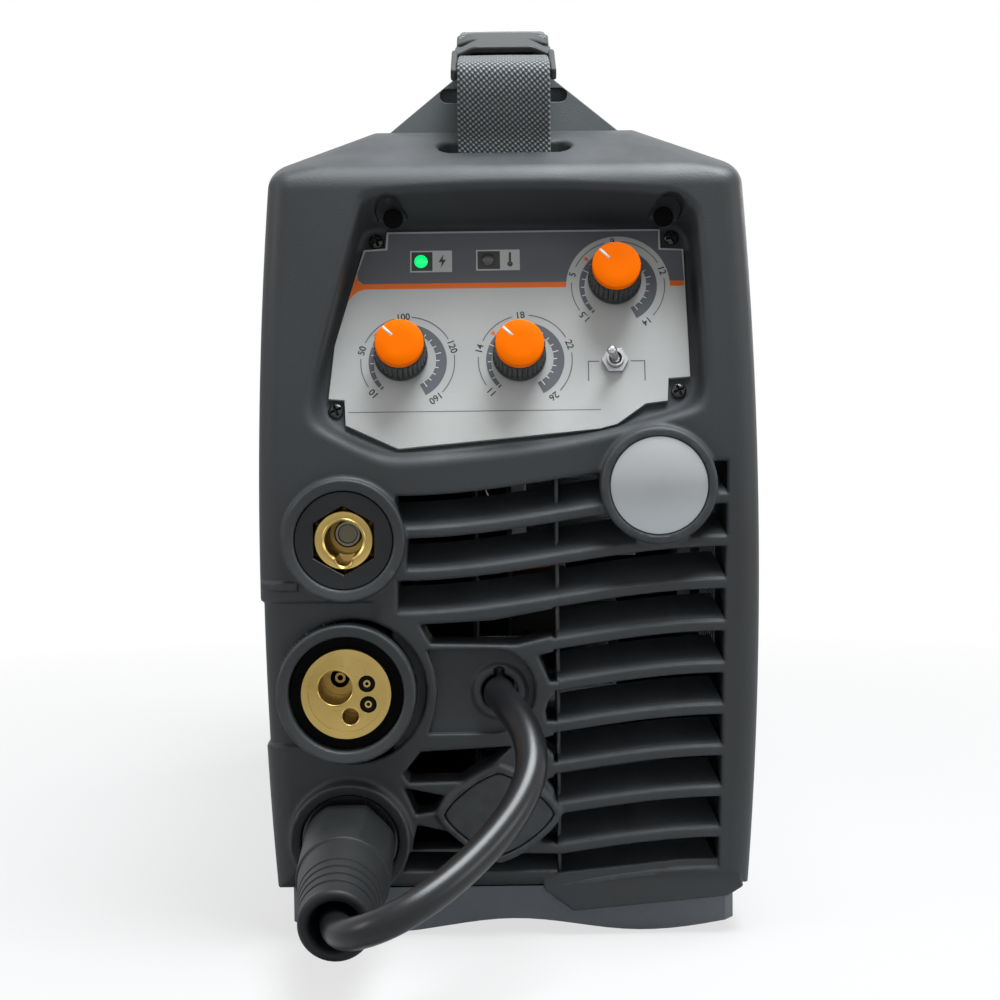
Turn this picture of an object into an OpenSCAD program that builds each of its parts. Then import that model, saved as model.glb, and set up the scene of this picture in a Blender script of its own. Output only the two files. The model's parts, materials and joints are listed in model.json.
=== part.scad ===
/* [Case] */
// Length over the faces of the front and rear bezels
case_l = 424; // [410:2:440]
// Width of the bezels at their widest
bezel_w = 172; // [168:1:178]
// Height of the bezels' flat tops above the ground
bezel_top = 284; // [282:1:288]
// Height of the bezels' lower edge
bezel_foot = 17; // [16:0.5:18]
// Depth of a bezel from its face to its rim
bezel_depth = 52; // [50:1:56]
// Wall of the moulded bezels
wall = 3; // [2.6:0.1:3.4]
// Radius of the soft edge around a bezel's face
edge_r = 8; // [5:0.5:8]
// Radius of the bulge of a bezel's face, seen from the side
bulge_r = 950; // [900:10:1000]
// How far the sides draw in from the widest height to the shoulder
side_bow = 4.5; // [3.5:0.25:5]
// Radius of the shoulder corners
corner_r = 8.5; // [8.5:0.25:10]
// Thickness of the sheet steel
sheet_t = 1.5; // [1:0.1:2]
// Gap between pieces that are fitted together
fit_gap = 0.3; // [0.2:0.05:0.4]
// Radius of the strap slots' round ends
strap_slot_r = 5; // [4.6:0.1:5.4]

/* [Grille] */
// Distance from one louvre slot to the next
slot_pitch = 14.6; // [14:0.1:15]
// Height of a louvre slot
slot_h = 10.7; // [9.5:0.1:11.2]
// Depth of the louvre blades
blade_depth = 22; // [16:1:26]
// Fall of a louvre from its right end to its left end
louvre_fall = 10.8; // [9:0.2:12]
// Thickness of the upright rib behind the louvres
rib_t = 1.4; // [1:0.1:2]

/* [Control panel] */
// Lean of the control panel away from upright, in degrees
panel_lean = 17.5; // [16:0.5:19]
// Thickness of the control panel plate
panel_t = 2; // [1.5:0.1:2.5]
// Diameter of a knob's skirt at its foot
knob_d = 18.5; // [17:0.5:20]
// Height of a knob above the panel
knob_h = 16; // [14:0.5:18]
// Diameter of a control shaft
shaft_d = 6; // [5:0.25:7]
// Gap all round a turning shaft
running_gap = 0.05; // [0.03:0.01:0.08]
// Turn of a control knob between its stops, in degrees
knob_turn = 280; // [260:10:300]
// Diameter of the round badge dome
badge_d = 33; // [30:0.5:34]

/* [Sockets] */
// Spacing of the three sockets
socket_pitch = 52.7; // [52:0.1:54]
// Distance of the sockets from the middle of the machine
socket_x = 56.4; // [55:0.2:58]
// Bore of a power socket
power_bore = 13; // [12.5:0.1:13.5]
// Depth of a power socket's bore
power_bore_depth = 30; // [28:1:31]
// Width across the flats of a power socket's brass hexagon
power_hex = 20.4; // [19.5:0.1:21]
// Outside diameter of a power socket's collar
power_collar_d = 41.8; // [41:0.2:43]
// Bore of a power socket's collar
power_collar_bore = 34; // [33.5:0.1:35]
// Diameter of the torch socket's brass block
torch_d = 30.8; // [30:0.2:31.6]
// Outside diameter of the torch socket's collar
torch_collar_d = 47.7; // [47:0.2:49]
// Bore of the torch socket's collar
torch_collar_bore = 39.6; // [38:0.2:40.4]
// Downward lean of the lower power socket, in degrees
lower_lean = 8; // [6:0.5:9]

/* [Polarity lead] */
// Diameter of the polarity lead
lead_d = 10.5; // [9.5:0.25:11]
// Length of the plug's boot
boot_l = 76; // [70:1:80]
// Diameter of the boot at the socket
boot_d = 31.4; // [30:0.2:32]
// Diameter of the boot at its open end
boot_end_d = 23.6; // [22:0.2:25]

/* [Carrying strap] */
// Width of the strap's webbing
strap_w = 32; // [28:1:34]
// Thickness of the strap's webbing
strap_t = 2.2; // [1.8:0.1:2.6]
// Height of the middle of the strap above the ground
strap_top = 333; // [328:1:340]
// Width of the buckle
buckle_w = 36.6; // [36:0.2:40]
// Length of the buckle
buckle_l = 58; // [54:1:62]

/* [Wire feed bay] */
// Place of the dividing wall, left of the middle
divider_x = 12; // [10:0.5:14]
// Diameter of the drive roll
drive_roll_d = 30; // [26:1:32]
// Diameter of the pressure roll
pressure_roll_d = 22; // [19:1:24]
// Diameter of the spool hub
hub_d = 50; // [48:0.5:51]
// Length of the spool hub
hub_l = 50; // [46:1:52]
// Diameter of the wire
wire_d = 0.8; // [0.6:0.1:1]
// Opening of the side door, in degrees
door_swing = 90; // [80:5:90]
// Diameter of the hinge pins
hinge_pin_d = 3; // [2.5:0.1:3.4]

/* [Rear] */
// Side of the square cooling fan
fan_w = 92; // [80:1:92]
// Depth of the cooling fan
fan_t = 25; // [20:1:25]
// Bore of the mains cable gland
gland_bore = 9; // [7:0.5:10]
// Outside diameter of the gas inlet's spigot
spigot_d = 9; // [8:0.25:9.5]

/* [Hidden] */
$fn = 48;
eps = 0.01;

// Colours
charcoal = [0.2, 0.21, 0.22];
blue_grey = [0.33, 0.36, 0.4];
black_plastic = [0.07, 0.07, 0.08];
orange = [0.95, 0.42, 0.08];
satin = [0.72, 0.73, 0.74];
brass = [0.83, 0.66, 0.3];
steel = [0.6, 0.61, 0.63];
board_green = [0.1, 0.35, 0.2];

// Bezel outline and face
face_front = -case_l / 2;
rim_y = face_front + bezel_depth;
bow_z = 128;
bow_span = 129;
corner_z = bezel_top - 21.5;
shoulder_turn = 65.4;
bulge_z = 168;
brow_z = bezel_top - 18;
brow_slope = 1.94;
rim_clear = 0.5;
side_steps = 7;
corner_steps = 4;

function half_width(z) = bezel_w / 2 - side_bow * pow((z - bow_z) / bow_span, 2);
function face_y(z) = face_front + pow(z - bulge_z, 2) / (2 * bulge_r) + brow_slope * max(0, z - brow_z);
function side_points(e) = [
  for (i = [0 : side_steps])
    let (z = bezel_foot + e + (corner_z - bezel_foot - e) * i / side_steps) [half_width(z) - e, z]
];
function corner_points(e) = [
  for (i = [1 : corner_steps])
    let (a = shoulder_turn * i / corner_steps)
      [half_width(corner_z) - corner_r + (corner_r - e) * cos(a), corner_z + (corner_r - e) * sin(a)]
];
function top_point(e) =
  let (last = corner_points(e)[corner_steps - 1], z = bezel_top - e)
    [last[0] - (z - last[1]) * tan(shoulder_turn), z];
function right_half(e) = concat(side_points(e), corner_points(e), [top_point(e)]);
function mirrored(p) = [for (i = [len(p) - 1 : -1 : 0]) [-p[i][0], p[i][1]]];
function outline(e) = concat(right_half(e), mirrored(right_half(e)));
function ring(e, s, flat_y) = [
  for (p = outline(e)) [p[0], is_undef(flat_y) ? min(face_y(p[1]) + s, rim_y - rim_clear) : flat_y, p[1]]
];
edge_steps = 3;
function shell_rings(e, back) = concat(
  [ring(e, 0, back), ring(e, e + edge_r)],
  [
    for (i = [1 : edge_steps])
      let (a = 90 * i / edge_steps) ring(e + (edge_r - e) * (1 - cos(a)), e + (edge_r - e) * (1 - sin(a)))
  ]
);

// Places on the front
front_place_z = [bezel_foot + 18.6, bezel_foot + 18.6 + socket_pitch, bezel_foot + 18.6 + 2 * socket_pitch];
lower_z = front_place_z[0];
torch_z = front_place_z[1];
upper_z = front_place_z[2];
collar_rise = 5;
lower_face = face_y(lower_z) - collar_rise;
torch_face = face_front - 4;
upper_face = face_front - 4;
badge_x = 51;
badge_z = 158.7;
badge_ring_d = badge_d + 6.8;
badge_face = face_front - 5.5;
rib_x = 16.3;
grille_right = 74;
grille_left = -38;
grille_back = face_front + 4 + blade_depth;
top_slot_z = 166.5;
slot_rows = 10;
strap_y = face_front + 26;
strap_slot_w = 45.8;
anchor_z = bezel_top - 19.5;
anchor_r = 2.5;
anchor_w = strap_w + 6;
anchor_room = 5.7;
tuck = 8;
cover_in = wall + fit_gap;
base_floor = 9;
dome_proud = 1.8;
rear_limit = -badge_face + dome_proud;

// Lead, in round numbers: out of the bezel, round in front of it and back into the plug's boot
lead_exit = [-4, face_front + 6, 87.5];
boot_axis = [0, -cos(lower_lean), -sin(lower_lean)];
boot_seat = [-socket_x, lower_face, lower_z];
lead_inside = 27;
lead_end = boot_seat + lead_inside * boot_axis;
lead_sides = 10;
lead_route = [
  lead_exit, [-4, -214, 87.5], [-2.5, -222, 87], [-0.5, -230, 85.8], [2, -237.5, 83.4], [4.5, -244.5, 80],
  [6, -251.5, 75.5], [6, -258.5, 70.2], [4.2, -264.5, 65], [1.2, -270, 60], [-3, -275.5, 55], [-8, -281, 50.2],
  [-13.5, -286.5, 45.8], [-19, -291.8, 42], [-25, -296.6, 38.4], [-31, -300.2, 35.2], [-37.4, -302, 32],
  [-43.6, -301.2, 29.2], [-49, -297.6, 26.9], [-53, -291.8, 25.4], [-55.4, -285, 25], [-56.3, -277.5, 25.8],
  [-56.4, -269, 27], [-56.4, -252, 29.4], lead_end
];

// A slot outline with round ends, along X
function obround(w, h) = concat(
  [for (i = [0 : 8]) let (a = -90 + 22.5 * i) [w / 2 - h / 2 + h / 2 * cos(a), h / 2 * sin(a)]],
  [for (i = [0 : 8]) let (a = 90 + 22.5 * i) [-w / 2 + h / 2 + h / 2 * cos(a), h / 2 * sin(a)]]
);

module outward(p, lean) {
  translate(p) rotate([90 + lean, 0, 0]) children();
}

module tube(ro, ri, h) {
  difference() {
    cylinder(r = ro, h = h);
    translate([0, 0, -1]) cylinder(r = ri, h = h + 2);
  }
}

// A plate of a given XZ outline, from one depth to another
module upright(points, y0, y1) {
  translate([0, y1, 0]) rotate([90, 0, 0]) linear_extrude(height = y1 - y0) polygon(points);
}

// A plate of a given YZ outline, from one X to another
module sideways(points, x0, x1) {
  translate([x0, 0, 0]) rotate([90, 0, 90]) linear_extrude(height = x1 - x0) polygon(points);
}

module tapered_shell(e, back) {
  rings = shell_rings(e, back);
  m = len(rings[0]);
  h = m / 2;
  last = (len(rings) - 1) * m;
  sides = [
    for (k = [0 : len(rings) - 2], i = [0 : m - 1])
      let (j = (i + 1) % m, a = k * m)
        each [[a + i, a + m + i, a + m + j], [a + i, a + m + j, a + j]]
  ];
  front = [
    for (i = [0 : h - 2])
      let (r = last + i, l = last + m - 1 - i) each [[r, l, l - 1], [r, l - 1, r + 1]]
  ];
  polyhedron(points = [for (r = rings) each r], faces = concat([[for (i = [0 : m - 1]) i]], sides, front));
}

// ---- Front bezel ----
panel_y = face_front + 5;
panel_z = bulge_z + 9;
rim_lean = -2.9;
panel_outline = [
  [-41.5, 73], [54, 73], [54, 66], [62, 65.5], [63, 19], [55.5, 18.5], [55, 10.5], [47.5, 9.6], [42.5, 6],
  [37.5, 2.4], [31.5, 0.8], [-37.5, -5.5], [-55.5, 3], [-56, 12], [-61.5, 12.5], [-59.5, 31.5], [-53, 54.5],
  [-49.5, 66.5], [-42, 67]
];
floor_outline = [
  [-52, 76], [62.5, 76], [66, 72], [66.5, 14], [60, 6], [28, -2.5], [-38, -8.5], [-60, 1], [-65, 9], [-62, 34]
];
rim_outline = [
  [-49, 91], [-26, 93.5], [0, 94.5], [32, 93.2], [61, 90], [66, 85], [69.5, 24], [67, 16.5], [28, 5.5],
  [-19, -1], [-41, -2], [-67.5, 12], [-69.5, 19], [-57, 61]
];
window_outline = [[-43, 65.4], [52, 65.4], [55.5, 22], [47, 15], [22, 8], [-34, 4], [-51, 15], [-46, 46]];
pot_places = [[-36.5, 27.6], [4.3, 27], [37.7, 54.4]];
toggle_place = [37.2, 24.9];
power_lamp_place = [-29.5, 61.9];
fault_lamp_place = [-6.2, 62.3];
lamp_r = 2.3;
panel_screw_places = [[-45.2, 70], [58, 70.2], [59, 14.4], [-59, 8.6]];
niche_places = [[-39, bezel_top - 33], [55, bezel_top - 33.5]];
niche_r = 4.8;
niche_floor = face_front + 25;
screw_r = 1.6;

module panel_place() {
  outward([0, panel_y, panel_z], -panel_lean) children();
}

module pocket_solid(grow, deep) {
  hull() {
    panel_place() translate([0, 0, -panel_t - deep])
      linear_extrude(height = 1) offset(delta = grow) polygon(floor_outline);
    outward([0, face_front - 0.6, bulge_z], rim_lean)
      linear_extrude(height = 3) offset(delta = grow) polygon(rim_outline);
  }
}

function fall(x) = louvre_fall * (1 - cos(180 * min(1, max(0, (grille_right - x) / (grille_right - grille_left))))) / 2;
function row_top(i, x) = top_slot_z - i * slot_pitch - fall(x);
band_steps = 6;
function slot_band(i, xa, xb) = concat(
  [for (k = [0 : band_steps]) let (x = xa + (xb - xa) * k / band_steps) [x, row_top(i, x)]],
  [for (k = [band_steps : -1 : 0]) let (x = xa + (xb - xa) * k / band_steps) [x, row_top(i, x) - slot_h]]
);
left_ends = [-38.6, -35, -38.3];
rib_left = rib_x - rib_t / 2;
rib_right = rib_x + rib_t / 2;
odd_slots = [
  [[-31, 111.4], [-27.5, 104.8], [2, 104], [rib_left, 107.3], [rib_left, 116.6], [-6, 112.6]],
  [[9.6, 100.2], [13.4, 91], [rib_left, 91], [rib_left, 101.8]],
  [[11.8, 80.4], [13, 84.6], [rib_left, 87.2], [rib_left, 77.4], [12.4, 77]],
  [[-31.4, 66.8], [-37.6, 59], [-35.6, 55.8], [-15.4, 56.2], [-8, 60.8], [0, 68.4]],
  [[9.4, 70.6], [rib_left, 72.6], [rib_left, 63.2]],
  [[12, 56.4], [rib_left, 58], [rib_left, 50]],
  [[7.6, 34.4], [rib_left, 41.8], [rib_left, 33.4]],
  [[-37.4, 54], [-23.6, 51], [-26, 45.6], [-33.4, 44.4]],
  [[-33, 40.6], [-22, 38], [-15, 32.4], [-35.4, 31.4]],
  [[-37.6, 27.6], [rib_left, 26.8], [rib_left, 19.6], [-38.4, 20.4]]
];

module louvre_slots() {
  y0 = face_front - 8;
  y1 = grille_back + 4;
  for (i = [0 : slot_rows - 1]) {
    upright(slot_band(i, rib_right, grille_right + 0.4 - 0.3 * i), y0, y1);
    upright(slot_band(i, rib_left - 1, rib_right + 1), y0, face_y(row_top(i, rib_x)) + 4.5);
  }
  for (i = [0 : len(left_ends) - 1]) upright(slot_band(i, left_ends[i], rib_left), y0, y1);
  for (p = odd_slots) upright(p, y0, y1);
}

// A louvre blade rises from the slot's lower lip towards the back
blade_front = 1.5;
blade_run = 12;
blade_rise = 8.2;
blade_t = 1.6;
blade_root = 1;
blade_lip = 0.4;

module louvre_blade(i, xa, xb) {
  rings = [
    for (k = [0 : band_steps])
      let (x = xa + (xb - xa) * k / band_steps, z = row_top(i, x) - slot_h, y = face_y(z) + blade_front)
        each [
          [x, y, z - blade_root], [x, y + blade_run, z + blade_rise - blade_t],
          [x, y + blade_run, z + blade_rise], [x, y, z + blade_lip]
        ]
  ];
  sides = [
    for (k = [0 : band_steps - 1], j = [0 : 3])
      let (a = 4 * k + j, b = 4 * k + (j + 1) % 4) each [[a, a + 4, b + 4], [a, b + 4, b]]
  ];
  last = 4 * band_steps;
  polyhedron(points = rings, faces = concat([[0, 1, 2, 3], [last + 3, last + 2, last + 1, last]], sides));
}

module louvre_blades() {
  for (i = [0 : slot_rows - 1])
    louvre_blade(i, i < len(left_ends) ? left_ends[i] - 1 : rib_x, grille_right + 1 - 0.3 * i);
}

collar_depth = 26;
collar_lip = 14;
lip_hole_r = 15;
insulator_sink = 2;
power_lean = [0, lower_lean];
power_places = [[-socket_x, upper_face, upper_z], boot_seat];
torch_at = [-socket_x, torch_face, torch_z];
torch_collar_depth = 28;
badge_at = [badge_x, badge_face, badge_z];
lead_boss_r = 9.2;
lead_hole_r = lead_d / 2 + 0.95;
key_w = 3.6;
plate_r = 14.65;
plate_sink = 4;
plate_face = face_y(torch_z) + plate_sink;
diamond_at = [-4.5, face_y(44.3) - 1.4, 44.3];
diamond_lean = 7.4;
diamond_a = 18.8;
diamond_b = 14.7;
diamond_t = 2.6;
function diamond(a, b) = [
  for (i = [0 : 39])
    let (t = 9 * i, c = cos(t), s = sin(t)) [a * sign(c) * pow(abs(c), 1.5), b * sign(s) * pow(abs(s), 1.5)]
];

module strap_channel() {
  translate([0, strap_y, anchor_z + 1]) linear_extrude(height = bezel_top - anchor_z + 5)
    polygon(obround(strap_slot_w, 2 * strap_slot_r));
  translate([-anchor_w / 2, strap_y - anchor_room, anchor_z - anchor_room])
    cube([anchor_w, 2 * anchor_room, 2 * anchor_room]);
}

module strap_block() {
  translate([-strap_slot_w / 2 - wall, strap_y - strap_slot_r - wall, anchor_z - strap_slot_r - wall])
    cube([strap_slot_w + 2 * wall, 2 * strap_slot_r + 2 * wall, bezel_top - anchor_z + strap_slot_r + wall]);
}

module anchor_bar() {
  translate([-anchor_w / 2 - 1, strap_y, anchor_z]) rotate([0, 90, 0]) cylinder(r = anchor_r, h = anchor_w + 2);
}

module collars() {
  for (i = [0, 1]) {
    outward(power_places[i], power_lean[i])
      translate([0, 0, -collar_depth]) cylinder(r = power_collar_d / 2, h = collar_depth);
  }
  outward(torch_at, 0) translate([0, 0, -torch_collar_depth]) cylinder(r = torch_collar_d / 2, h = torch_collar_depth);
  outward(badge_at, 0) translate([0, 0, -collar_depth]) cylinder(r = badge_ring_d / 2, h = collar_depth);
  outward([lead_exit[0], plate_face - 1.6, torch_z - 0.8], 0) translate([0, 0, -8]) cylinder(r = lead_boss_r, h = 8);
  outward(diamond_at, diamond_lean) translate([0, 0, -16])
    linear_extrude(height = 16) polygon(diamond(diamond_a + 2.8, diamond_b + 2.8));
}

module collar_bores() {
  for (i = [0, 1]) {
    outward(power_places[i], power_lean[i]) {
      translate([0, 0, -collar_lip]) cylinder(r = power_collar_bore / 2, h = collar_lip + 5);
      translate([0, 0, -collar_depth - 5]) cylinder(r = lip_hole_r, h = collar_depth);
    }
  }
  outward(torch_at, 0) translate([0, 0, -torch_collar_depth - 5]) cylinder(r = torch_collar_bore / 2, h = torch_collar_depth + 10);
  outward(badge_at, 0) translate([0, 0, -dome_sink]) cylinder(r = badge_d / 2 + fit_gap, h = 10);
  outward([lead_exit[0], plate_face + 8, torch_z - 0.8], 0) {
    cylinder(r = lead_hole_r, h = 30, center = true);
    translate([-key_w / 2, 0, -15]) cube([key_w, 8.2, 30]);
  }
  outward(diamond_at, diamond_lean) translate([0, 0, -diamond_t])
    linear_extrude(height = 10) polygon(diamond(diamond_a + fit_gap, diamond_b + fit_gap));
}

plate_outline = concat(
  [for (i = [0 : 10]) let (a = -90 + 18 * i) [plate_r * cos(a) - 6.2, plate_r * sin(a)]],
  [[-28.6, plate_r], [-26.4, 8], [-25.4, 0], [-26.4, -8], [-28.6, -plate_r]]
);

module plate_recess() {
  translate([0, 0, torch_z - 0.4]) upright(plate_outline, face_front - 8, plate_face);
}

chin = [[10, 22], [11, 16.4], [21, 8.8], [75, 13.6], [80.5, 17], [78, 27], [60, 27]];

module front_bezel() {
  color(charcoal) difference() {
    union() {
      difference() {
        tapered_shell(0, rim_y);
        difference() {
          tapered_shell(wall, rim_y + 1);
          translate([-41, face_front, bezel_foot]) cube([119, grille_back - face_front, 152]);
          pocket_solid(wall, wall);
          strap_block();
          for (p = niche_places)
            outward([p[0], niche_floor + 4, p[1]], 0) cylinder(r = niche_r + 2, h = 30);
        }
        louvre_slots();
        plate_recess();
        pocket_solid(0, 0);
        outward([-socket_x + 1.8, face_front + 8, torch_z], 0) cylinder(r = torch_collar_d / 2 + 1.8, h = 20);
      }
      difference() {
        collars();
        translate([-bezel_w, face_front + 40, 0]) cube([2 * bezel_w, 50, bezel_top]);
        translate([-bezel_w, -base_l / 2 - fit_gap, -1]) cube([2 * bezel_w, 100, bezel_foot + fit_gap + 1]);
      }
      upright(chin, face_y(bezel_foot) + 0.4, face_y(bezel_foot) + 3.4);
      louvre_blades();
    }
    collar_bores();
    strap_channel();
    panel_place() translate([0, 0, -10]) linear_extrude(height = 12) polygon(window_outline);
    panel_place() for (p = panel_screw_places) translate([p[0], p[1], -12]) cylinder(r = 1.3, h = 20);
    for (p = niche_places) {
      outward([p[0], niche_floor, p[1]], 0) cylinder(r = niche_r, h = 30);
      outward([p[0], niche_floor + 9, p[1]], 0) cylinder(r = screw_r + 0.3, h = 33);
    }
  }
  color(charcoal) anchor_bar();
}

// ---- Control panel ----
bushing_r = shaft_d / 2 + 1.2;
nut_t = 2;
lamp_gap = 0.15;

module control_panel() {
  color(satin) panel_place() difference() {
    translate([0, 0, -panel_t]) linear_extrude(height = panel_t) polygon(panel_outline);
    for (p = pot_places) translate([p[0], p[1], -5]) cylinder(r = bushing_r + 0.1, h = 10);
    translate([toggle_place[0], toggle_place[1], -5]) cylinder(r = toggle_r + 0.1, h = 10);
    for (p = [power_lamp_place, fault_lamp_place]) translate([p[0], p[1], -5]) cylinder(r = lamp_r + lamp_gap, h = 10);
  }
}

module screw(head_r, head_h, shank_r, shank_l) {
  cylinder(r = head_r, h = head_h);
  translate([0, 0, -shank_l]) cylinder(r = shank_r, h = shank_l);
}

module panel_screws() {
  color(black_plastic) panel_place() for (p = panel_screw_places)
    translate([p[0], p[1], -panel_t]) screw(2.6, 1.6, 1.2, 4);
}

board_gap = 10.4;
board_t = 1.6;
board_z = -panel_t - board_gap;
pot_r = 8;

module potentiometers() {
  color(steel) panel_place() for (p = pot_places) translate([p[0], p[1], 0]) difference() {
    union() {
      translate([0, 0, board_z]) cylinder(r = pot_r, h = board_gap);
      translate([0, 0, -panel_t]) cylinder(r = bushing_r, h = panel_t + 4);
    }
    translate([0, 0, -9]) cylinder(r = shaft_d / 2 + running_gap, h = 20);
  }
}

module control_board() {
  color(board_green) panel_place() translate([-50, 8, board_z - board_t]) cube([106, 60, board_t]);
}

module lamp(p) {
  panel_place() translate([p[0], p[1], 0]) {
    translate([0, 0, board_z]) cylinder(r = lamp_r, h = -board_z + 0.4);
    translate([0, 0, 0.4]) intersection() {
      sphere(r = lamp_r);
      translate([-5, -5, 0]) cube([10, 10, 1.1]);
    }
  }
}

module power_lamp() {
  color([0.1, 0.9, 0.45]) lamp(power_lamp_place);
}

module fault_lamp() {
  color([0.35, 0.35, 0.34]) lamp(fault_lamp_place);
}

toggle_r = 2.9;
toggle_nut_r = 4.75;
toggle_rise = 4.2;
toggle_pivot = 2.4;
toggle_lean = 9;
lever_l = 12;
lever_ball_r = 2;

module toggle_place_at() {
  panel_place() translate([toggle_place[0], toggle_place[1], 0]) children();
}

module toggle_body() {
  color(steel) toggle_place_at() difference() {
    union() {
      translate([-6.5, -4, board_z]) cube([13, 8, board_gap]);
      translate([0, 0, -panel_t - 0.1]) cylinder(r = toggle_r, h = toggle_rise + panel_t + 0.1);
    }
    translate([0, 0, toggle_pivot - lever_ball_r - 0.3]) cylinder(r = lever_ball_r + 0.25, h = 10);
  }
}

module toggle_nut() {
  color(steel) toggle_place_at() difference() {
    cylinder(r = toggle_nut_r, h = nut_t, $fn = 6);
    translate([0, 0, -1]) cylinder(r = toggle_r, h = nut_t + 2);
  }
}

module toggle_lever() {
  color(steel) toggle_place_at() translate([0, 0, toggle_pivot]) rotate([0, -toggle_lean, 0]) {
    sphere(r = lever_ball_r);
    cylinder(r1 = 1, r2 = 1.7, h = lever_l - 1.7);
    translate([0, 0, lever_l - 1.7]) sphere(r = 1.7);
  }
}

knob_foot = 0.8;
flutes = 30;
cap_t = 2.6;
function fluted(r, depth) = [
  for (i = [0 : 4 * flutes - 1])
    let (a = i * 90 / flutes, q = (i % 4 < 2) ? r : r - depth) [q * cos(a), q * sin(a)]
];

module knob_at(p) {
  panel_place() translate([p[0], p[1], 0]) children();
}

module knob_skirt(p) {
  color(black_plastic) knob_at(p) {
    difference() {
      union() {
        translate([0, 0, knob_foot]) cylinder(r1 = knob_d / 2, r2 = knob_d / 2 - 0.25, h = 2.4);
        translate([0, 0, knob_foot + 2]) linear_extrude(height = knob_h - cap_t - knob_foot - 2)
          polygon(fluted(knob_d / 2 - 0.45, 0.55));
      }
      translate([0, 0, -1]) cylinder(r = bushing_r + 0.8, h = 6);
    }
    translate([0, 0, -8]) cylinder(r = shaft_d / 2, h = knob_h - cap_t + 7);
  }
}

module knob_cap(p) {
  color(orange) knob_at(p) translate([0, 0, knob_h - cap_t]) {
    cylinder(r = knob_d / 2 - 0.9, h = cap_t - 0.6);
    translate([0, 0, cap_t - 0.6]) cylinder(r1 = knob_d / 2 - 0.9, r2 = knob_d / 2 - 1.5, h = 0.6);
  }
}

module current_knob() {
  knob_skirt(pot_places[0]);
}
module current_cap() {
  knob_cap(pot_places[0]);
}
module voltage_knob() {
  knob_skirt(pot_places[1]);
}
module voltage_cap() {
  knob_cap(pot_places[1]);
}
module speed_knob() {
  knob_skirt(pot_places[2]);
}
module speed_cap() {
  knob_cap(pot_places[2]);
}

dome_rise = 2.6;
dome_sink = 3;
dome_r = (pow(badge_d / 2, 2) + pow(dome_rise, 2)) / (2 * dome_rise);
dome_span = asin(badge_d / 2 / dome_r);
dome_steps = 8;

module badge_dome() {
  color(satin) outward(badge_at, 0) rotate_extrude() polygon(concat(
    [[0, -dome_sink], [badge_d / 2, -dome_sink]],
    [
      for (i = [dome_steps : -1 : 0])
        let (a = dome_span * i / dome_steps) [i == 0 ? 0 : dome_r * sin(a), dome_proud - dome_r * (1 - cos(a))]
    ]
  ));
}

module blank_cap() {
  color(charcoal) outward(diamond_at, diamond_lean) translate([0, 0, -diamond_t])
    linear_extrude(height = diamond_t - 0.4) polygon(diamond(diamond_a, diamond_b));
}

// ---- Sockets ----
hex_r = power_hex / 2 / cos(30);
insert_sink = 2.6;
insert_l = 33;
key_r = 2.8;
key_reach = 5.95;
groove_r = power_bore / 2 + 2.5;
groove_deep = 14;
groove_w = 6;
bolt_r = 4.75;

module socket_insulators() {
  color(black_plastic) for (i = [0, 1]) outward(power_places[i], power_lean[i]) difference() {
    union() {
      translate([0, 0, -collar_lip]) cylinder(r = power_collar_bore / 2 - 0.1, h = collar_lip - insulator_sink);
      translate([0, 0, -collar_depth + 4]) cylinder(r = lip_hole_r - 0.1, h = collar_depth - 4 - collar_lip + eps);
    }
    translate([0, 0, -collar_depth]) cylinder(r = hex_r + 0.12, h = collar_depth + 1, $fn = 6);
  }
}

module insert() {
  difference() {
    translate([0, 0, -insert_l]) cylinder(r = hex_r, h = insert_l - insert_sink, $fn = 6);
    translate([0, 0, -power_bore_depth]) cylinder(r = power_bore / 2, h = power_bore_depth + 1);
    translate([0, 0, -insert_sink - 0.5]) cylinder(r1 = power_bore / 2, r2 = power_bore / 2 + 0.8, h = 0.8);
    translate([0, -key_reach, -power_bore_depth + 8]) cylinder(r = key_r, h = power_bore_depth);
    translate([0, 0, -groove_deep - groove_w]) cylinder(r = groove_r, h = groove_w);
    difference() {
      translate([0, 0, -insert_sink - 1.2]) cylinder(r = hex_r + 2, h = 3);
      translate([0, 0, -insert_sink - 2]) cylinder(r1 = hex_r + 0.9, r2 = power_hex / 2 - 0.9, h = 2 + eps);
    }
  }
  translate([0, 0, -power_bore_depth - 1]) cylinder(r = bolt_r, h = 4);
}

module socket_inserts() {
  color(brass) for (i = [0, 1]) outward(power_places[i], power_lean[i]) insert();
}

torch_sink = 2.5;
torch_l = 62;
wire_hole = [-3.7, 2.1];
wire_hole_r = 5.9;
wire_hole_deep = 28;
guide_r = 3.4;
guide_l = 12;
guide_sink = 0.3;
contact_holes = [[7.1, 3.4], [7.5, -3.7]];
contact_hole_r = 2.9;
gas_hole = [1.4, -7.8];
gas_hole_r = 2.85;
torch_back = -torch_sink - torch_l;

module torch_block() {
  color(brass) difference() {
    outward(torch_at, 0) difference() {
      translate([0, 0, torch_back]) cylinder(r = torch_d / 2, h = torch_l);
      translate([0, 0, -torch_sink - 0.8]) cylinder(r = torch_d / 2 - 2.3, h = 3);
      translate([wire_hole[0], wire_hole[1], -wire_hole_deep]) cylinder(r = wire_hole_r, h = 50);
      translate([wire_hole[0], wire_hole[1], -wire_hole_deep - guide_l]) cylinder(r = guide_r, h = 50);
      translate([wire_hole[0], wire_hole[1], torch_back - 1]) cylinder(r = 1.2, h = torch_l);
      for (p = contact_holes) translate([p[0], p[1], -24]) cylinder(r = contact_hole_r, h = 40);
      translate([gas_hole[0], gas_hole[1], -30]) cylinder(r = gas_hole_r, h = 40);
    }
    along_x(-socket_x + torch_d / 2 - lead_seat, 0, inner_bend_y + inner_bend_r, lead_exit[2], lead_d / 2);
    translate([inlet_at[0], hose_y, hose_z]) cylinder(r = hose_r, h = hose_top - hose_z);
  }
}

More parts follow.
